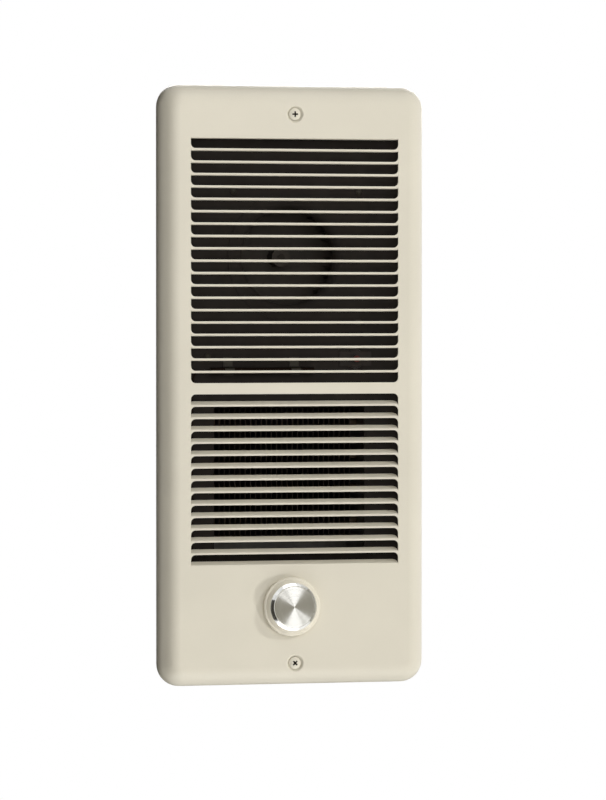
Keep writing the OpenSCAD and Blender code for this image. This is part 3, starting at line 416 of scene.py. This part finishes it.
def rolled(name, base, roughness=0.35, direction=(1, 0.06, 1), scale=900, spread=0.08, metallic=1.0,
           relief=0.000008):
    """Sheet or bar metal with drawn or rolled lines along one direction."""
    f = Finish(name)
    lines = f.noise(scale, 3, 0.6, f.stretched(direction))
    clouds = f.noise(40, 4, 0.6)
    tone = f.blend(f.ramp(clouds, 0.0, 1.0), shade_of(base, 1 - spread), shade_of(base, 1 + spread))
    tone = f.blend(1.0, tone, f.blend(f.ramp(lines, 0.0, 1.0), (1 - spread,) * 3, (1, 1, 1)), "MULTIPLY")
    return f.set(Base_Color=tone, Metallic=metallic,
                 Roughness=f.ramp(lines, roughness - 0.07, roughness + 0.09),
                 Normal=f.relief(lines, relief, 0.7)).material


def spangled(name, base):
    """Galvanised sheet: zinc crystals of differing tone and gloss, a few scuffs and white bloom."""
    f = Finish(name)
    bent = f.blend(0.06, f.place, f.add("TexNoise", {"Vector": f.place, "Scale": 60.0}).outputs["Color"],
                   "LINEAR_LIGHT")
    crystals = f.add("TexVoronoi", {"Vector": bent, "Scale": 85.0, "Randomness": 1.0})
    grey = f.add("SeparateColor", {"Color": crystals.outputs["Color"]}).outputs[0]
    feather = f.noise(900, 3, 0.6, f.stretched((1, 1, 0.25)))
    tone = f.blend(f.ramp(grey, 0.0, 1.0, 0.0, 1.0), shade_of(base, 0.86), shade_of(base, 1.12))
    tone = f.blend(1.0, tone, f.blend(f.ramp(feather, 0.0, 1.0), (0.93,) * 3, (1, 1, 1)), "MULTIPLY")
    bloom = f.ramp(f.noise(9, 5, 0.6), 0.0, 0.35, 0.5, 0.72)
    tone = f.blend(bloom, tone, (0.42, 0.425, 0.43))
    rough = f.add("Math", {0: f.ramp(grey, 0.34, 0.50, 0.0, 1.0), 1: f.ramp(bloom, 0.0, 0.14, 0.0, 0.35)},
                  operation="ADD").outputs[0]
    edges = f.add("TexVoronoi", {"Vector": bent, "Scale": 85.0}, feature="DISTANCE_TO_EDGE")
    seam = f.ramp(edges.outputs["Distance"], 0.0, 1.0, 0.0, 0.08)
    normal = f.relief(feather, 0.000012, 0.5, f.relief(seam, 0.00001, 0.4))
    return f.set(Base_Color=tone, Metallic=0.82, Roughness=rough, Normal=normal).material


def turned(name, base, axis_x, axis_z, roughness=0.17):
    """Spun aluminium: fine turning rings about the knob's axis, with the gloss drawn out across them."""
    f = Finish(name)
    centred = f.stretched((1, 0, 1), (-axis_x, 0, -axis_z))
    radius = f.add("VectorMath", {0: centred}, operation="LENGTH").outputs["Value"]
    ring_place = f.add("CombineXYZ", {"X": radius}).outputs[0]
    rings = f.noise(5200, 3, 0.7, ring_place)
    broad = f.noise(700, 2, 0.5, ring_place)
    tone = f.blend(f.ramp(broad, 0.0, 1.0), shade_of(base, 0.93), base)
    tone = f.blend(1.0, tone, f.blend(f.ramp(rings, 0.0, 1.0), (0.9,) * 3, (1, 1, 1)), "MULTIPLY")
    tangent = f.add("Tangent", direction_type="UV_MAP", uv_map="turning").outputs[0]
    return f.set(Base_Color=tone, Metallic=1.0, Roughness=f.ramp(rings, roughness - 0.04, roughness + 0.05),
                 Anisotropic=1.0, Anisotropic_Rotation=0.25, Tangent=tangent,
                 Normal=f.relief(rings, 0.000002, 0.35)).material


FINISHES = {}


def make_finishes(colours):
    """Makes one finish for every material slot of the record."""
    made = {
        "cover_paint": enamel("almond_enamel", colours.paint),
        "knob_plastic": moulded("almond_plastic", colours.knob, 0.4, 0.02),
        "spun_aluminium": turned("spun_aluminium", colours.aluminium, KNOB_X, KNOB_Z),
        "galvanised": spangled("galvanised_sheet", colours.galvanised),
        "spring_steel": rolled("blued_spring_steel", (0.10, 0.12, 0.17), 0.3),
        # Zinc plate of the screws inside, darkened far below bright zinc as painted shade, so that they show
        # no glints through the slots.
        "zinc_plated": rolled("shade_darkened_zinc_plate", (0.075, 0.070, 0.062), 0.5, (1, 1, 0.2), 500),
        "green_screw": enamel("green_dyed_zinc", (0.03, 0.25, 0.08), 0.3),
        # The chassis's matt black sheet: partly its own black paint, partly painted shade, with its tone set
        # to the shaded inside seen through the slots.
        "black_sheet": enamel("matt_black_sheet", (0.0125, 0.0094, 0.0078), 0.8, 0.00005),
        # The blower wheel's black paint, set a little lighter as painted light, so that its deeply shaded
        # opening reads like the rest of the inside.
        "wheel_paint": enamel("dull_black_wheel", (0.036, 0.029, 0.0235), 0.75),
        # Black-oxide steel of small parts inside; its dark tone also serves as the painted shade in the cover
        # screws' crosses.
        "black_oxide": rolled("black_oxide_steel_and_recess_shade", (0.03, 0.025, 0.02), 0.5),
        # The shaft's ground steel, darkened far below bright steel as painted shade, so that its end shows no
        # glint through the slots.
        "ground_steel": rolled("ground_steel", (0.045, 0.040, 0.035), 0.55, (1, 0.1, 1), 1500),
        "lamination": rolled("stacked_laminations", (0.20, 0.21, 0.23), 0.42, (0.05, 1, 0.05), 1100, 0.3,
                             relief=0.00005),
        "nylon": moulded("natural_nylon", (0.78, 0.75, 0.64), 0.35),
        "winding": rolled("taped_copper_winding", (0.36, 0.13, 0.05), 0.35, (0.08, 1, 1), 900, 0.25,
                          0.4, 0.00012),
        "die_cast": enamel("die_cast_zinc", (0.42, 0.43, 0.45), 0.42, 0.00009),
        "bronze": rolled("oiled_bronze", (0.42, 0.24, 0.09), 0.33, (1, 1, 1), 1300),
        "rubber": moulded("soft_black_rubber", (0.018, 0.018, 0.018), 0.75, 0.1, 0.00005),
        # Aluminised steel, darkened well below its own grey as painted shade for the inside seen through the
        # slots.
        "aluminised": spangled("aluminised_steel", (0.12, 0.11, 0.10)),
        "sheath": rolled("heat_tinted_sheath", (0.17, 0.13, 0.10), 0.42, (0.06, 1, 1), 700, 0.3),
        # Fin steel, darkened as painted shade, so that the fins sit as dark as the shaded inside.
        "fin_steel": rolled("thin_fin_steel", (0.06, 0.052, 0.046), 0.6, (1, 1, 0.1), 800, 0.15),
        "ceramic": moulded("glazed_ceramic", (0.80, 0.78, 0.70), 0.16, 0.02, 0.00001),
        # The phenolic, the capillary's copper and the reset button keep their hues but are darkened as painted
        # shade, as dark as the shaded inside.
        "phenolic": moulded("brown_phenolic", (0.014, 0.0100, 0.0082), 0.6, 0.12, 0.00003),
        "terminal_brass": rolled("dulled_brass", (0.34, 0.21, 0.07), 0.38),
        # Copper darkened far below its own colour as painted shade.
        "copper": rolled("shade_darkened_copper", (0.032, 0.023, 0.018), 0.6),
        # Red darkened as painted shade.
        "button_red": moulded("red_button", (0.085, 0.011, 0.008), 0.6),
        "connector_plastic": moulded("yellow_connector", (0.62, 0.34, 0.03), 0.4),
    }
    for tint, base in (("black", (0.012, 0.012, 0.013)), ("red", (0.32, 0.012, 0.012)),
                       ("white", (0.72, 0.72, 0.69)), ("blue", (0.02, 0.06, 0.26)),
                       ("green", (0.015, 0.16, 0.03))):
        made[f"lead_{tint}_pvc"] = moulded(f"{tint}_lead_insulation", base, 0.38, 0.06, 0.00003)
    FINISHES.update(made)


# ---- The cover ----

def cover_shell(bm, sizes):
    """The cover's outer skin without its face: a box with round corners and a quarter-round edge."""
    half_w, half_h, front = sizes.width / 2, sizes.height / 2, sizes.depth
    bmesh.ops.create_cube(bm, size=1.0)
    bmesh.ops.scale(bm, vec=(sizes.width, sizes.height, front), verts=bm.verts[:])
    bmesh.ops.translate(bm, vec=(0, 0, front / 2), verts=bm.verts[:])
    back = [f for f in bm.faces if f.normal.z < -0.5]
    bmesh.ops.delete(bm, geom=back, context="FACES_ONLY")
    posts = [e for e in bm.edges if abs(e.verts[0].co.z - e.verts[1].co.z) > front / 2]
    bmesh.ops.bevel(bm, geom=posts, offset=sizes.corner_radius, segments=10, profile=0.5,
                    affect="EDGES", material=-1, clamp_overlap=False)
    rim = [e for e in bm.edges if all(v.co.z > front - 1e-6 for v in e.verts)]
    bmesh.ops.bevel(bm, geom=rim, offset=sizes.edge_radius, segments=12, profile=0.5,
                    affect="EDGES", material=-1, clamp_overlap=False)
    face = max(bm.faces, key=lambda f: f.calc_area() if f.normal.z > 0.99 else 0.0)
    edges = face.edges[:]
    bmesh.ops.delete(bm, geom=[face], context="FACES_ONLY")
    return edges


def slot_with_flap(bm, sizes, hinge, side, bend):
    """One lanced slot: its outline in the face, and the flap that is bent in from the hinge line.
    side is -1 where the slot lies below its hinge and 1 where it lies above."""
    half, front, radius = sizes.slot_width / 2, sizes.depth, sizes.bend_radius
    start = hinge - side * radius
    far = hinge + side * sizes.slot_height
    inner = half - sizes.relief
    edges, kept = outline(bm, [(-half, start, front), (-inner, start, front), (inner, start, front),
                               (half, start, front), (half, far, front), (-half, far, front)],
                          (4, 5), sizes.slot_corner)
    foot = [bm.edges.get((kept[1], kept[2]))]
    centre = (hinge - side * radius, front - radius)
    steps = 5
    for step in range(1, steps + 1):
        a = bend * step / steps
        y, z = centre[0] + side * radius * math.sin(a), centre[1] + radius * math.cos(a)
        foot = pull(bm, foot, lambda p: Vector((p.x, y, z)))
    straight = sizes.slot_height - radius
    tip = pull(bm, foot, lambda p: p + Vector((0, side * math.cos(bend), -math.sin(bend))) * straight)
    bmesh.ops.bevel(bm, geom=list(tip[0].verts), offset=sizes.slot_corner, segments=6, profile=0.5,
                    affect="VERTICES", material=-1)
    return edges


def screw_heights(sizes):
    """Heights of the top and the bottom screw."""
    return sizes.screw_top, -sizes.screw_bottom


def dimple_rings(sizes):
    """The dimple's section as (radius, depth) points, over two soft bends to the screw's hole."""
    deep, top = sizes.dimple_depth, sizes.dimple / 2
    floor = top - sizes.dimple_taper
    soft, steps = 0.0009, 4  # radius of each bend, and the steps in it
    slope = math.atan2(deep, top - floor)
    reach = soft * math.tan(slope / 2)
    bends = [slope * k / steps for k in range(steps + 1)]
    return ([(top + reach - soft * math.sin(a), soft * (1 - math.cos(a))) for a in bends]
            + [(floor - reach + soft * math.sin(a), deep - soft * (1 - math.cos(a))) for a in bends[::-1]]
            + [(sizes.screw_hole / 2, deep)])


def sink_dimple(bm, sizes, height, sides=48):
    """Cuts a round hole through the skin and sinks a dimple from its edge, ring by ring."""
    rings, centre, deep = dimple_rings(sizes), Vector((0, height, sizes.depth)), sizes.dimple_depth
    radius = rings[0][0]
    inner = radius * math.cos(math.pi / sides)
    bm.normal_update()
    skin = centre.z - 0.002  # faces that reach above this are the cover's front
    inside = [f for f in bm.faces if abs(f.normal.z) > 0.2 and max(v.co.z for v in f.verts) > skin]
    for k in sorted(range(sides), key=lambda k: k % (sides // 4) != 0):
        turn = 2 * math.pi * k / sides
        out = Vector((math.cos(turn), math.sin(turn), 0))
        around = {e for f in inside for e in f.edges}, {v for f in inside for v in f.verts}
        cut = bmesh.ops.bisect_plane(bm, geom=inside + list(around[0]) + list(around[1]), dist=1e-6,
                                     plane_co=centre + out * inner, plane_no=out)
        inside = [f for f in cut["geom"] if isinstance(f, bmesh.types.BMFace)
                  and (f.calc_center_median() - centre).dot(out) < inner]
    bmesh.ops.delete(bm, geom=inside, context="FACES")
    loop = [e for e in bm.edges if e.is_boundary and
            all(inner - 1e-5 < (v.co - centre).xy.length < radius + 1e-5 for v in e.verts)]
    for (_, before), (reach, down) in zip(rings, rings[1:]):
        def place(p):
            flat = (p - centre).xy.normalized() * reach
            lift = (p.z - centre.z + before) * (deep - down) / max(deep - before, 1e-9)
            return centre + Vector((flat.x, flat.y, lift - down))
        loop = pull(bm, loop, place)


def build_cover(sizes, finish):
    """The stamped cover: its skin with slots, flaps, dimples and the knob's hole, thickened to a sheet."""
    bm = bmesh.new()
    loops = cover_shell(bm, sizes)
    pitch = sizes.slot_height + sizes.strip
    for i in range(sizes.intake_slots):
        loops += slot_with_flap(bm, sizes, sizes.first_slot - i * pitch, -1, sizes.intake_bend)
    outlet_top = sizes.first_slot - (sizes.intake_slots - 1) * pitch - sizes.slot_height - sizes.divider
    for i in range(sizes.outlet_slots):
        loops += slot_with_flap(bm, sizes, outlet_top - sizes.slot_height - i * pitch, 1, sizes.outlet_bend)
    hole = bmesh.ops.create_circle(bm, cap_ends=False, segments=48, radius=sizes.knob_hole / 2,
                                   matrix=Matrix.Translation((KNOB_X, KNOB_Z, sizes.depth)))["verts"]
    loops += list({e for v in hole for e in v.link_edges})
    bmesh.ops.triangle_fill(bm, use_beauty=True, use_dissolve=False, edges=loops, normal=(0, 0, 1))
    for height in screw_heights(sizes):
        sink_dimple(bm, sizes, height)
    outward(bm)
    if max(bm.faces, key=lambda f: f.calc_area()).normal.z < 0:
        bmesh.ops.reverse_faces(bm, faces=bm.faces[:])
    stand_up(bm)
    made = piece(bm, "louvred_cover", finish)
    settle(made, ("SOLIDIFY", {"thickness": sizes.sheet, "offset": -1.0, "use_even_offset": True}),
           soft_edges(0.00013, 1, 50)[0])
    return shade_flats(made)


SCREW_RISE = 0.0026  # height of a screw head's middle above its seat


def screw_profile(head):
    """A screw's section as (radius, height) points, from the oval head's middle to the tip."""
    edge, seat = 0.0014, 0.0021  # height of the head's edge, and width of its sloping seat
    shank, reach, groove, tip = 0.002, 0.013, 0.0004, 0.0008
    threads, first, plain = 9, 0.0015, 0.0045  # plain is what the thread leaves free of the reach
    bulge = SCREW_RISE - edge
    dome = (head ** 2 + bulge ** 2) / (2 * bulge)
    sweep, steps = math.asin(head / dome), 10
    bends = [sweep * k / steps for k in range(1, steps + 1)]
    profile = [(0.0, SCREW_RISE)]
    profile += [(dome * math.sin(a), SCREW_RISE - dome + dome * math.cos(a)) for a in bends]
    profile += [(head, edge - 0.0001), (head - seat, 0.0), (shank, 0.0)]
    for k in range(threads):
        z = -first - k * (reach - plain) / threads
        profile += [(shank - groove, z), (shank, z - groove), (shank - groove, z - 2 * groove)]
    return profile + [(tip, -reach + tip), (0.0, -reach)]


def cross_cutter(head):
    """The tapering cross that is cut out of a screw's head."""
    arm, half = head * 0.56, head * 0.15
    above, deep, taper = 0.001, 0.0027, 0.7
    bm = bmesh.new()
    cross = [(-half, arm), (half, arm), (half, half), (arm, half), (arm, -half), (half, -half),
             (half, -arm), (-half, -arm), (-half, -half), (-arm, -half), (-arm, half), (-half, half)]
    face = bm.faces.new([bm.verts.new((x, y, SCREW_RISE + above)) for x, y in cross])
    down = bmesh.ops.extrude_face_region(bm, geom=[face])["geom"]
    low = [g for g in down if isinstance(g, bmesh.types.BMVert)]
    bmesh.ops.scale(bm, vec=(taper, taper, 1), verts=low)
    bmesh.ops.translate(bm, vec=(0, 0, -deep), verts=low)
    outward(bm)
    return bm


def set_in_dimple(bm, sizes, height, turn):
    """Turns a screw or its cutter about its axis and stands it in its dimple."""
    bmesh.ops.rotate(bm, cent=(0, 0, 0), matrix=Matrix.Rotation(turn, 3, "Z"), verts=bm.verts[:])
    bmesh.ops.translate(bm, vec=(0, height, sizes.depth - sizes.dimple_depth), verts=bm.verts[:])
    stand_up(bm)
    return bm


def build_screws(sizes, finish, recess_shade):
    """The two oval-head screws; the faces of the cross cut in each head take a dark finish as painted shade.
    """
    head = sizes.screw_head / 2
    made = []
    for name, height, turn in zip(("cover_screw_top", "cover_screw_bottom"), screw_heights(sizes),
                                  (0.0, math.pi / 4)):
        body = set_in_dimple(lathe(screw_profile(head), 48, closed=False), sizes, height, turn)
        screw = piece(body, name, finish)
        cutter = piece(set_in_dimple(cross_cutter(head), sizes, height, turn), "recess_cutter", recess_shade)
        # The cutter's dark black-oxide finish passes to the faces of the cross: painted shade inside it.
        settle(screw, ("BOOLEAN", {"operation": "DIFFERENCE", "solver": "EXACT", "object": cutter,
                                   "material_mode": "TRANSFER"}),
               *soft_edges(0.00012, 2, 40))
        bpy.data.objects.remove(cutter)
        made.append(screw)
    return made


# ---- The knob ----

EVEN_NORMALS = ("WEIGHTED_NORMAL", {"keep_sharp": False, "weight": 60})


def at_knob(bm, name, finish):
    """Makes the piece of a turned part of the knob, moved from the wall's middle to the knob's axis."""
    bmesh.ops.translate(bm, verts=bm.verts[:], vec=(KNOB_X, KNOB_Z, -KNOB_HIGH.y))
    stand_up(bm)
    return settle(piece(bm, name, finish), EVEN_NORMALS)


def build_knob(sizes, finish):
    """The moulded knob: a round-edged skirt, a steep cone and a boss that fills the cap."""
    r, skirt, foot = sizes.diameter / 2, sizes.skirt, CAP_FOOT
    edge, soft, rear = 0.0011, 0.0006, 0.0002  # radii of skirt and neck, and how far the hub is set in
    boss, top = sizes.cap_face / 2, foot + sizes.cap_rise - sizes.cap_sheet
    neck = sizes.cap / 2 + soft
    cavity = boss - sizes.wall
    hub, bore = sizes.hub / 2, sizes.bore / 2
    profile = [(hub, rear), (hub, top - sizes.wall), (cavity, top - sizes.wall), (cavity, skirt / 2),
               (r - sizes.wall, skirt / 2), (r - sizes.wall, 0.0)]
    profile += corner((r - edge, edge), edge, -90, 0)
    profile += corner((r - edge, skirt - edge), edge, 0, 90)
    profile += [(r - sizes.bead, skirt), (r - sizes.bead - 0.0002, skirt + 0.0001)]
    profile += [(neck + 0.0003, foot - 0.0009)] + corner((neck - soft, foot - soft), soft, 15, 90, 4)
    profile += [(sizes.cap / 2 - sizes.cap_sheet, foot), (boss, top), (bore, top), (bore, rear)]
    return at_knob(lathe(profile, 128), "knob_body", finish)


def build_cap(sizes, finish):
    """The spun cap over the knob's boss, with its turning marks mapped round its axis."""
    foot, top = CAP_FOOT, CAP_FOOT + sizes.cap_rise
    face, outer, sheet = sizes.cap_face / 2, sizes.cap / 2, sizes.cap_sheet
    flange, soft = top - sizes.cap_step, 0.0003
    profile = [(0.0, top - sheet), (face - sheet, top - sheet), (face + 0.0004 - sheet, flange - sheet),
               (outer - sheet, foot), (outer - 0.0002, foot), (outer, foot + 0.0003)]
    profile += [(face + 0.0008, flange), (face + 0.0004, flange + 0.0001), (face, top - soft)]
    profile += corner((face - soft, top - soft), soft, 20, 90, 3)
    profile += [(face * k / 8, top) for k in range(7, 0, -1)] + [(0.0, top)]
    bm = lathe(profile, 160, closed=False)
    turning = bm.loops.layers.uv.new("turning")
    for f in bm.faces:
        middle = f.calc_center_median()
        around = math.atan2(middle.y, middle.x)
        for loop in f.loops:
            p = loop.vert.co
            flat = math.hypot(p.x, p.y)
            turn = math.atan2(p.y, p.x) if flat > 1e-7 else around
            turn += 2 * math.pi * round((around - turn) / (2 * math.pi))  # no jump inside a face
            loop[turning].uv = (turn / (2 * math.pi), flat / outer)
    return at_knob(bm, "spun_cap", finish)


# ---- The stage ----

def lamp(name, size, power, azimuth, rise, distance, glossy=True, tint=(1, 1, 1)):
    """An area light that looks at the object from a bearing and a rise, in degrees. Unless glossy is set,
    no surface mirrors it."""
    data = bpy.data.lights.new(name, "AREA")
    data.shape = "RECTANGLE"
    data.size, data.size_y = size
    data.energy = power
    data.color = tint
    made = bpy.data.objects.new(name, data)
    a, e = math.radians(azimuth), math.radians(rise)
    made.location = Vector((math.sin(a) * math.cos(e), -math.cos(a) * math.cos(e), math.sin(e))) * distance
    made.rotation_euler = (-Vector(made.location)).to_track_quat("-Z", "Y").to_euler()
    made.visible_glossy = glossy
    bpy.context.scene.collection.objects.link(made)


def seen_plainly(tree):
    """One for what the camera, glossy and clear surfaces see, and zero for soft light."""
    path = tree.nodes.new("ShaderNodeLightPath")
    seen = path.outputs["Is Camera Ray"]
    for other in ("Is Glossy Ray", "Is Transmission Ray"):
        both = tree.nodes.new("ShaderNodeMath")
        both.operation = "MAXIMUM"
        tree.links.new(seen, both.inputs[0])
        tree.links.new(path.outputs[other], both.inputs[1])
        seen = both.outputs[0]
    return seen


def build_world(settings):
    """White to the eye and in reflections, and a faint warm light otherwise."""
    world = bpy.data.worlds.new("white_studio")
    world.use_nodes = True
    tree = world.node_tree
    tree.nodes.clear()
    ambient = tree.nodes.new("ShaderNodeBackground")
    ambient.inputs["Color"].default_value = (1.0, 0.86, 0.66, 1)
    ambient.inputs["Strength"].default_value = settings.ambient
    white = tree.nodes.new("ShaderNodeBackground")
    white.inputs["Color"].default_value = (1, 1, 1, 1)
    white.inputs["Strength"].default_value = 1.0
    mix = tree.nodes.new("ShaderNodeMixShader")
    output = tree.nodes.new("ShaderNodeOutputWorld")
    tree.links.new(seen_plainly(tree), mix.inputs[0])
    tree.links.new(ambient.outputs[0], mix.inputs[1])
    tree.links.new(white.outputs[0], mix.inputs[2])
    tree.links.new(mix.outputs[0], output.inputs["Surface"])
    bpy.context.scene.world = world


def build_floor(settings):
    """A round pale floor under the object, which shows white but for the object's shadow."""
    f = Finish("pale_floor")
    tree = f.tree
    tone = mottled(f, (0.80, 0.79, 0.77), 0.01, 3)
    f.set(Base_Color=tone, Roughness=0.9, Specular_IOR_Level=0.1)
    glow = f.add("Emission", {"Color": (1, 1, 1, 1)})
    lift = f.add("Math", {0: seen_plainly(tree), 1: settings.glow}, operation="MULTIPLY")
    tree.links.new(lift.outputs[0], glow.inputs["Strength"])
    both = tree.nodes.new("ShaderNodeAddShader")
    tree.links.new(f.surface.outputs[0], both.inputs[0])
    tree.links.new(glow.outputs[0], both.inputs[1])
    tree.links.new(both.outputs[0], tree.nodes["Material Output"].inputs["Surface"])
    bm = bmesh.new()
    bmesh.ops.create_circle(bm, cap_ends=True, segments=96, radius=1.7)
    bmesh.ops.translate(bm, verts=bm.verts[:], vec=(0, 0, CAD_BOX[0][2] - settings.floor_drop))
    floor = piece(bm, "floor", f.material, smooth=False)


# Bright sectors of the card before the object, as angles from its upright, and how bright they are
SECTORS = ((-57, 0.0), (-54, 0.92), (-41, 0.86), (-38, 0.32), (-29, 0.34), (-25, 1.0), (26, 1.0),
           (31, 0.0))
BRIGHT_SECTOR = (1.4, 1.38, 1.34)


def gloss_card(name, size, place, facing, tint, sectors=()):
    """A card that only glossy surfaces see, plain or with bright sectors about its middle."""
    f = Finish(name + "_paper")
    tone = mottled(f, tint, 0.05, 5)
    if sectors:
        across, up = (f.add("SeparateXYZ", {0: f.add("UVMap", uv_map="place").outputs[0]}).outputs[k]
                      for k in (0, 1))
        turn = f.add("Math", {0: across, 1: up}, operation="ARCTAN2").outputs[0]
        shifted = f.add("Math", {0: turn, 1: math.pi / 2}, operation="ADD").outputs[0]
        wrapped = f.add("Math", {0: shifted, 1: math.pi}, operation="FLOORED_MODULO").outputs[0]
        part = f.add("Math", {0: wrapped, 1: math.pi}, operation="DIVIDE").outputs[0]
        ramp = f.add("ValToRGB", {0: part})
        for k, (degrees, bright) in enumerate(sectors):
            stop = ramp.color_ramp.elements[k] if k < 2 else ramp.color_ramp.elements.new(1.0)
            stop.position = (degrees + 90) / 180
            stop.color = (bright, bright, bright, 1)
        tone = f.blend(ramp.outputs[0], tone, BRIGHT_SECTOR)
    f.set(Base_Color=(0, 0, 0, 1), Roughness=1.0, Specular_IOR_Level=0.0, Emission_Color=tone,
          Emission_Strength=1.0)
    bm = bmesh.new()
    bmesh.ops.create_grid(bm, x_segments=1, y_segments=1, size=0.5)
    bmesh.ops.scale(bm, vec=(*size, 1), verts=bm.verts[:])
    layer = bm.loops.layers.uv.new("place")
    for face in bm.faces:
        for loop in face.loops:
            loop[layer].uv = (-loop.vert.co.x, loop.vert.co.y)
    stand = Vector(facing).to_track_quat("Z", "Y").to_matrix().to_4x4()
    bmesh.ops.transform(bm, verts=bm.verts[:], matrix=Matrix.Translation(place) @ stand)
    card = piece(bm, name, f.material, smooth=False)
    for ray in ("camera", "diffuse", "transmission", "volume_scatter", "shadow"):
        setattr(card, "visible_" + ray, False)


def build_camera(settings):
    """The camera, turned about the object by the settings' angle."""
    data = bpy.data.cameras.new("camera")
    data.sensor_width = 36
    data.lens = settings.lens
    data.clip_end = 100
    camera = bpy.data.objects.new("camera", data)
    bpy.context.scene.collection.objects.link(camera)
    turn = settings.turn
    right = Vector((math.cos(turn), math.sin(turn), 0))
    toward = Vector((math.sin(turn), -math.cos(turn), 0))
    camera.location = toward * settings.distance + Vector((0, 0, settings.rise))
    target = right * settings.aim_right + Vector((0, 0, settings.aim_up))
    camera.rotation_euler = (target - camera.location).to_track_quat("-Z", "Y").to_euler()
    bpy.context.scene.camera = camera


def build_stage(settings):
    """Everything that isn't the object. The two small lights draw the knob's shadows."""
    build_camera(settings)
    build_world(settings)
    build_floor(settings)
    lamp("main_light", (1.0, 1.0), settings.key, -9, 14, 1.1, glossy=False, tint=(1.0, 0.99, 0.97))
    for name, rise in (("upper_shadow_light", 25), ("lower_shadow_light", -25)):
        lamp(name, (0.32, 0.32), settings.shadow, 53, rise, 4.0, glossy=False)
    lamp("right_light", (1.1, 1.8), settings.right, 90, 0, 1.8)
    lamp("top_light", (1.2, 1.2), settings.top, 10, 66, 1.6)
    lamp("low_light", (1.2, 1.2), settings.low, -6, -74, 1.3)
    lamp("back_light", (1.6, 1.6), settings.back, 158, 25, 2.4)
    shade = (0.03, 0.026, 0.02)
    gloss_card("left_card", (1.5, 2.4), (-1.1, -0.75, -0.75), (1, 0.5, 0.35), shade)
    gloss_card("left_back_card", (2.2, 2.6), (-0.62, 1.45, 0.0), (0.9, -0.35, 0), shade)
    gloss_card("low_back_card", (2.6, 1.6), (0.2, 1.3, -1.1), (0, -0.5, 1), shade)
    gloss_card("right_card", (1.0, 1.7), (1.1, -0.4, -0.15), (-0.94, 0.34, 0), (0.33, 0.32, 0.28))
    cap = Vector(((CAP_LOW.x + CAP_HIGH.x) / 2, CAP_LOW.y, (CAP_LOW.z + CAP_HIGH.z) / 2))
    mirrored = (cap - bpy.context.scene.camera.location).normalized()
    mirrored.y = -mirrored.y
    gloss_card("sector_card", (6.0, 6.0), cap + mirrored * 1.5, -mirrored, (0.30, 0.28, 0.225), SECTORS)
    bpy.context.scene.view_settings.view_transform = "Standard"


# ---- Operators, panel and registration ----

class HEATER_OT_finishes(bpy.types.Operator):
    """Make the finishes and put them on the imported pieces"""
    bl_idname = "heater.finishes"
    bl_label = "Finishes"

    def execute(self, context):
        make_finishes(context.scene.heater_colours)
        for row in frame["record"]["subparts"]:
            node = frame["nodes"][row["node"]]
            if not node.material_slots:
                node.data.materials.append(None)
            for holder in node.material_slots:
                holder.material = FINISHES[row["material_slot"]]
        return {"FINISHED"}


class HEATER_OT_cover(bpy.types.Operator):
    """Build the louvred cover"""
    bl_idname = "heater.cover"
    bl_label = "Louvred cover"

    def execute(self, context):
        made = build_cover(context.scene.heater_cover, FINISHES["cover_paint"])
        hand_over(made, "heater", "cover_paint", "front_cover")
        return {"FINISHED"}


class HEATER_OT_cover_screws(bpy.types.Operator):
    """Build the two cover screws"""
    bl_idname = "heater.cover_screws"
    bl_label = "Cover screws"

    def execute(self, context):
        sizes = context.scene.heater_cover
        # The black-oxide finish is the painted shade inside the screws' crosses.
        for made in build_screws(sizes, FINISHES["cover_paint"], FINISHES["black_oxide"]):
            hand_over(made, "heater", "cover_paint", "cover_screws")
        return {"FINISHED"}


class HEATER_OT_knob(bpy.types.Operator):
    """Build the thermostat knob and its spun cap"""
    bl_idname = "heater.knob"
    bl_label = "Knob"

    def execute(self, context):
        sizes = context.scene.heater_knob
        hand_over(build_knob(sizes, FINISHES["knob_plastic"]), "thermostat_knob", "knob_plastic", "knob")
        hand_over(build_cap(sizes, FINISHES["spun_aluminium"]), "thermostat_knob", "spun_aluminium",
                  "knob_cap")
        return {"FINISHED"}


class HEATER_OT_stage(bpy.types.Operator):
    """Set up the camera, the lamps, the white surround and the floor"""
    bl_idname = "heater.stage"
    bl_label = "Stage"

    def execute(self, context):
        build_stage(context.scene.heater_stage)
        return {"FINISHED"}


OPERATORS = (HEATER_OT_finishes, HEATER_OT_cover, HEATER_OT_cover_screws, HEATER_OT_knob, HEATER_OT_stage)


class HEATER_PT_panel(bpy.types.Panel):
    """Lists the heater's pieces and their sizes"""
    bl_idname = "HEATER_PT_panel"
    bl_label = "Wall Heater"
    bl_space_type = "VIEW_3D"
    bl_region_type = "UI"
    bl_category = "Heater"

    def draw(self, context):
        for operator in OPERATORS:
            self.layout.operator(operator.bl_idname)
        for name in GROUPS:
            box = self.layout.box()
            group = getattr(context.scene, name)
            for key in group.bl_rna.properties.keys():
                if key not in ("rna_type", "name"):
                    box.prop(group, key)


GROUPS = {
    "heater_cover": CoverSizes,
    "heater_knob": KnobSizes,
    "heater_colours": Colours,
    "heater_stage": StageSettings,
}
CLASSES = (*GROUPS.values(), *OPERATORS, HEATER_PT_panel)


def register():
    for cls in CLASSES:
        bpy.utils.register_class(cls)
    for name, group in GROUPS.items():
        setattr(bpy.types.Scene, name, PointerProperty(type=group))


def unregister():
    for name in GROUPS:
        delattr(bpy.types.Scene, name)
    for cls in reversed(CLASSES):
        bpy.utils.unregister_class(cls)


def main():
    """Registers the add-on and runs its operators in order."""
    register()
    for operator in OPERATORS:
        group, name = operator.bl_idname.split(".")
        getattr(getattr(bpy.ops, group), name)()


if __name__ == "__main__":
    main()
